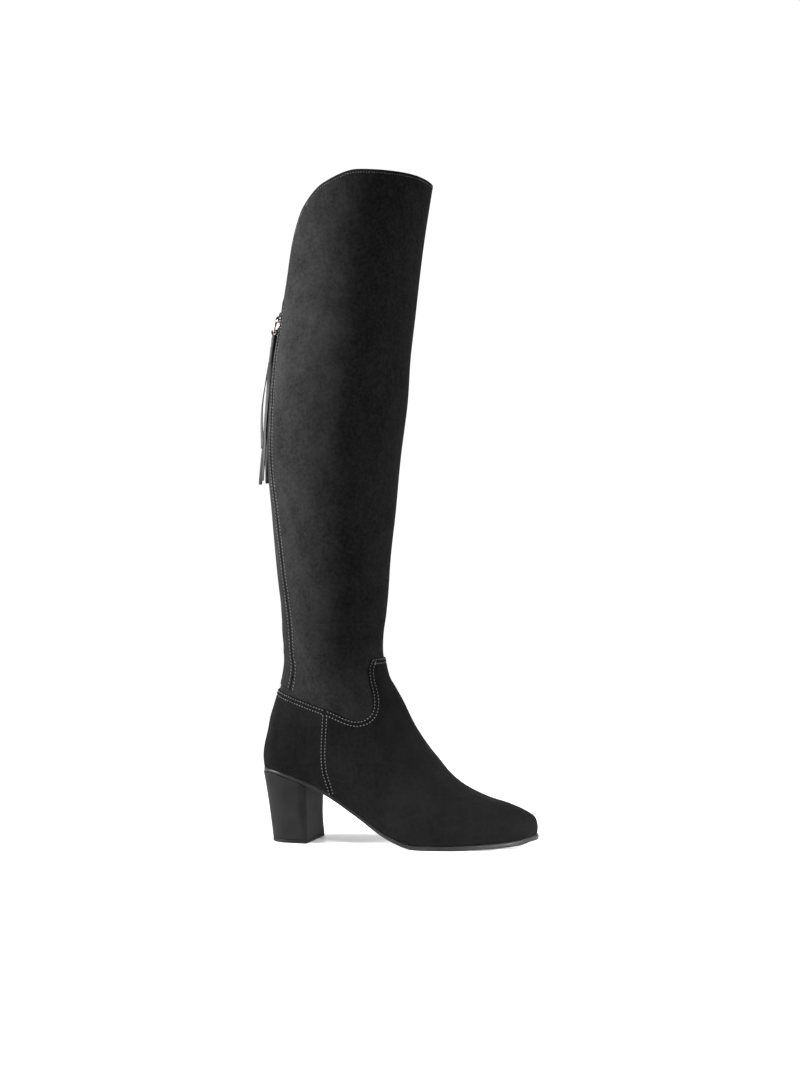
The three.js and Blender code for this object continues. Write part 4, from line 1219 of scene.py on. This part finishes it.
CAMERA_AIM = Vector((0.096, 0.0, 0.250))
CAMERA_TURN = math.radians(13)
CAMERA_DISTANCE = 1.6
CAMERA_LENS = 61.06
CAMERA_SHIFT = 0.0253
camera_place = CAMERA_AIM + Vector((math.sin(CAMERA_TURN), -math.cos(CAMERA_TURN), 0)) * CAMERA_DISTANCE
camera_data = bpy.data.cameras.new("camera")
camera_data.sensor_width = 36
camera_data.sensor_fit = "AUTO"
camera_data.lens = CAMERA_LENS
camera_data.shift_y = CAMERA_SHIFT
camera = bpy.data.objects.new("camera", camera_data)
bpy.context.scene.collection.objects.link(camera)
camera.location = camera_place
camera.rotation_euler = (math.radians(90), 0, CAMERA_TURN)
bpy.context.scene.camera = camera

FLOOR_HALF = 6000
FLOOR_ROWS = 13
floor_x = np.linspace(-FLOOR_HALF, FLOOR_HALF, FLOOR_ROWS)
grid = np.array([[(x, y, 0) for x in floor_x] for y in floor_x], float)
stage_mesh("floor", grid.reshape(-1, 3), grid_faces(FLOOR_ROWS, FLOOR_ROWS), floor_material())

# The studio is white behind the boot and to its left, and darker elsewhere
STUDIO_TURN = CAMERA_TURN + math.radians(25)
world = bpy.data.worlds.new("studio")
bpy.context.scene.world = world
world.use_nodes = True
background = world.node_tree.nodes["Background"]
background.inputs["Color"].default_value = (1.0, 1.0, 1.0, 1)
direction = world.node_tree.nodes.new("ShaderNodeTexCoord").outputs["Generated"]
towards = world.node_tree.nodes.new("ShaderNodeVectorMath")
towards.operation = "DOT_PRODUCT"
towards.inputs[1].default_value = (-math.sin(STUDIO_TURN), math.cos(STUDIO_TURN), 0)
world.node_tree.links.new(direction, towards.inputs[0])
strength = spread(world.node_tree, towards.outputs["Value"], 0.35, 0.74, 0.08, 1.03)
world.node_tree.links.new(strength, background.inputs["Strength"])


def area_light(name, place_at, aim, power, size, beam=180):
    data = bpy.data.lights.new(name, "AREA")
    data.shape = "RECTANGLE"
    data.size, data.size_y = size
    data.energy = power
    data.spread = math.radians(beam)
    obj = bpy.data.objects.new(name, data)
    bpy.context.scene.collection.objects.link(obj)
    obj.location = place_at
    obj.rotation_euler = (Vector(aim) - Vector(place_at)).to_track_quat("-Z", "Y").to_euler()


area_light("key_left", (-1.50, -0.52, 0.66), (0.02, 0, 0.44), 18, (0.7, 0.6), 42)
area_light("rim_right", (1.25, 0.55, 0.50), (0.05, 0, 0.30), 0.8, (0.4, 1.0), 60)
area_light("top_soft", (0.60, -0.30, 1.6), (0.17, 0, 0.0), 6, (0.8, 0.8), 70)
area_light("low_right", (1.30, -0.80, 0.35), (0.20, 0, 0.03), 0.55, (0.2, 0.2), 9)

bpy.context.scene.view_settings.view_transform = "Standard"
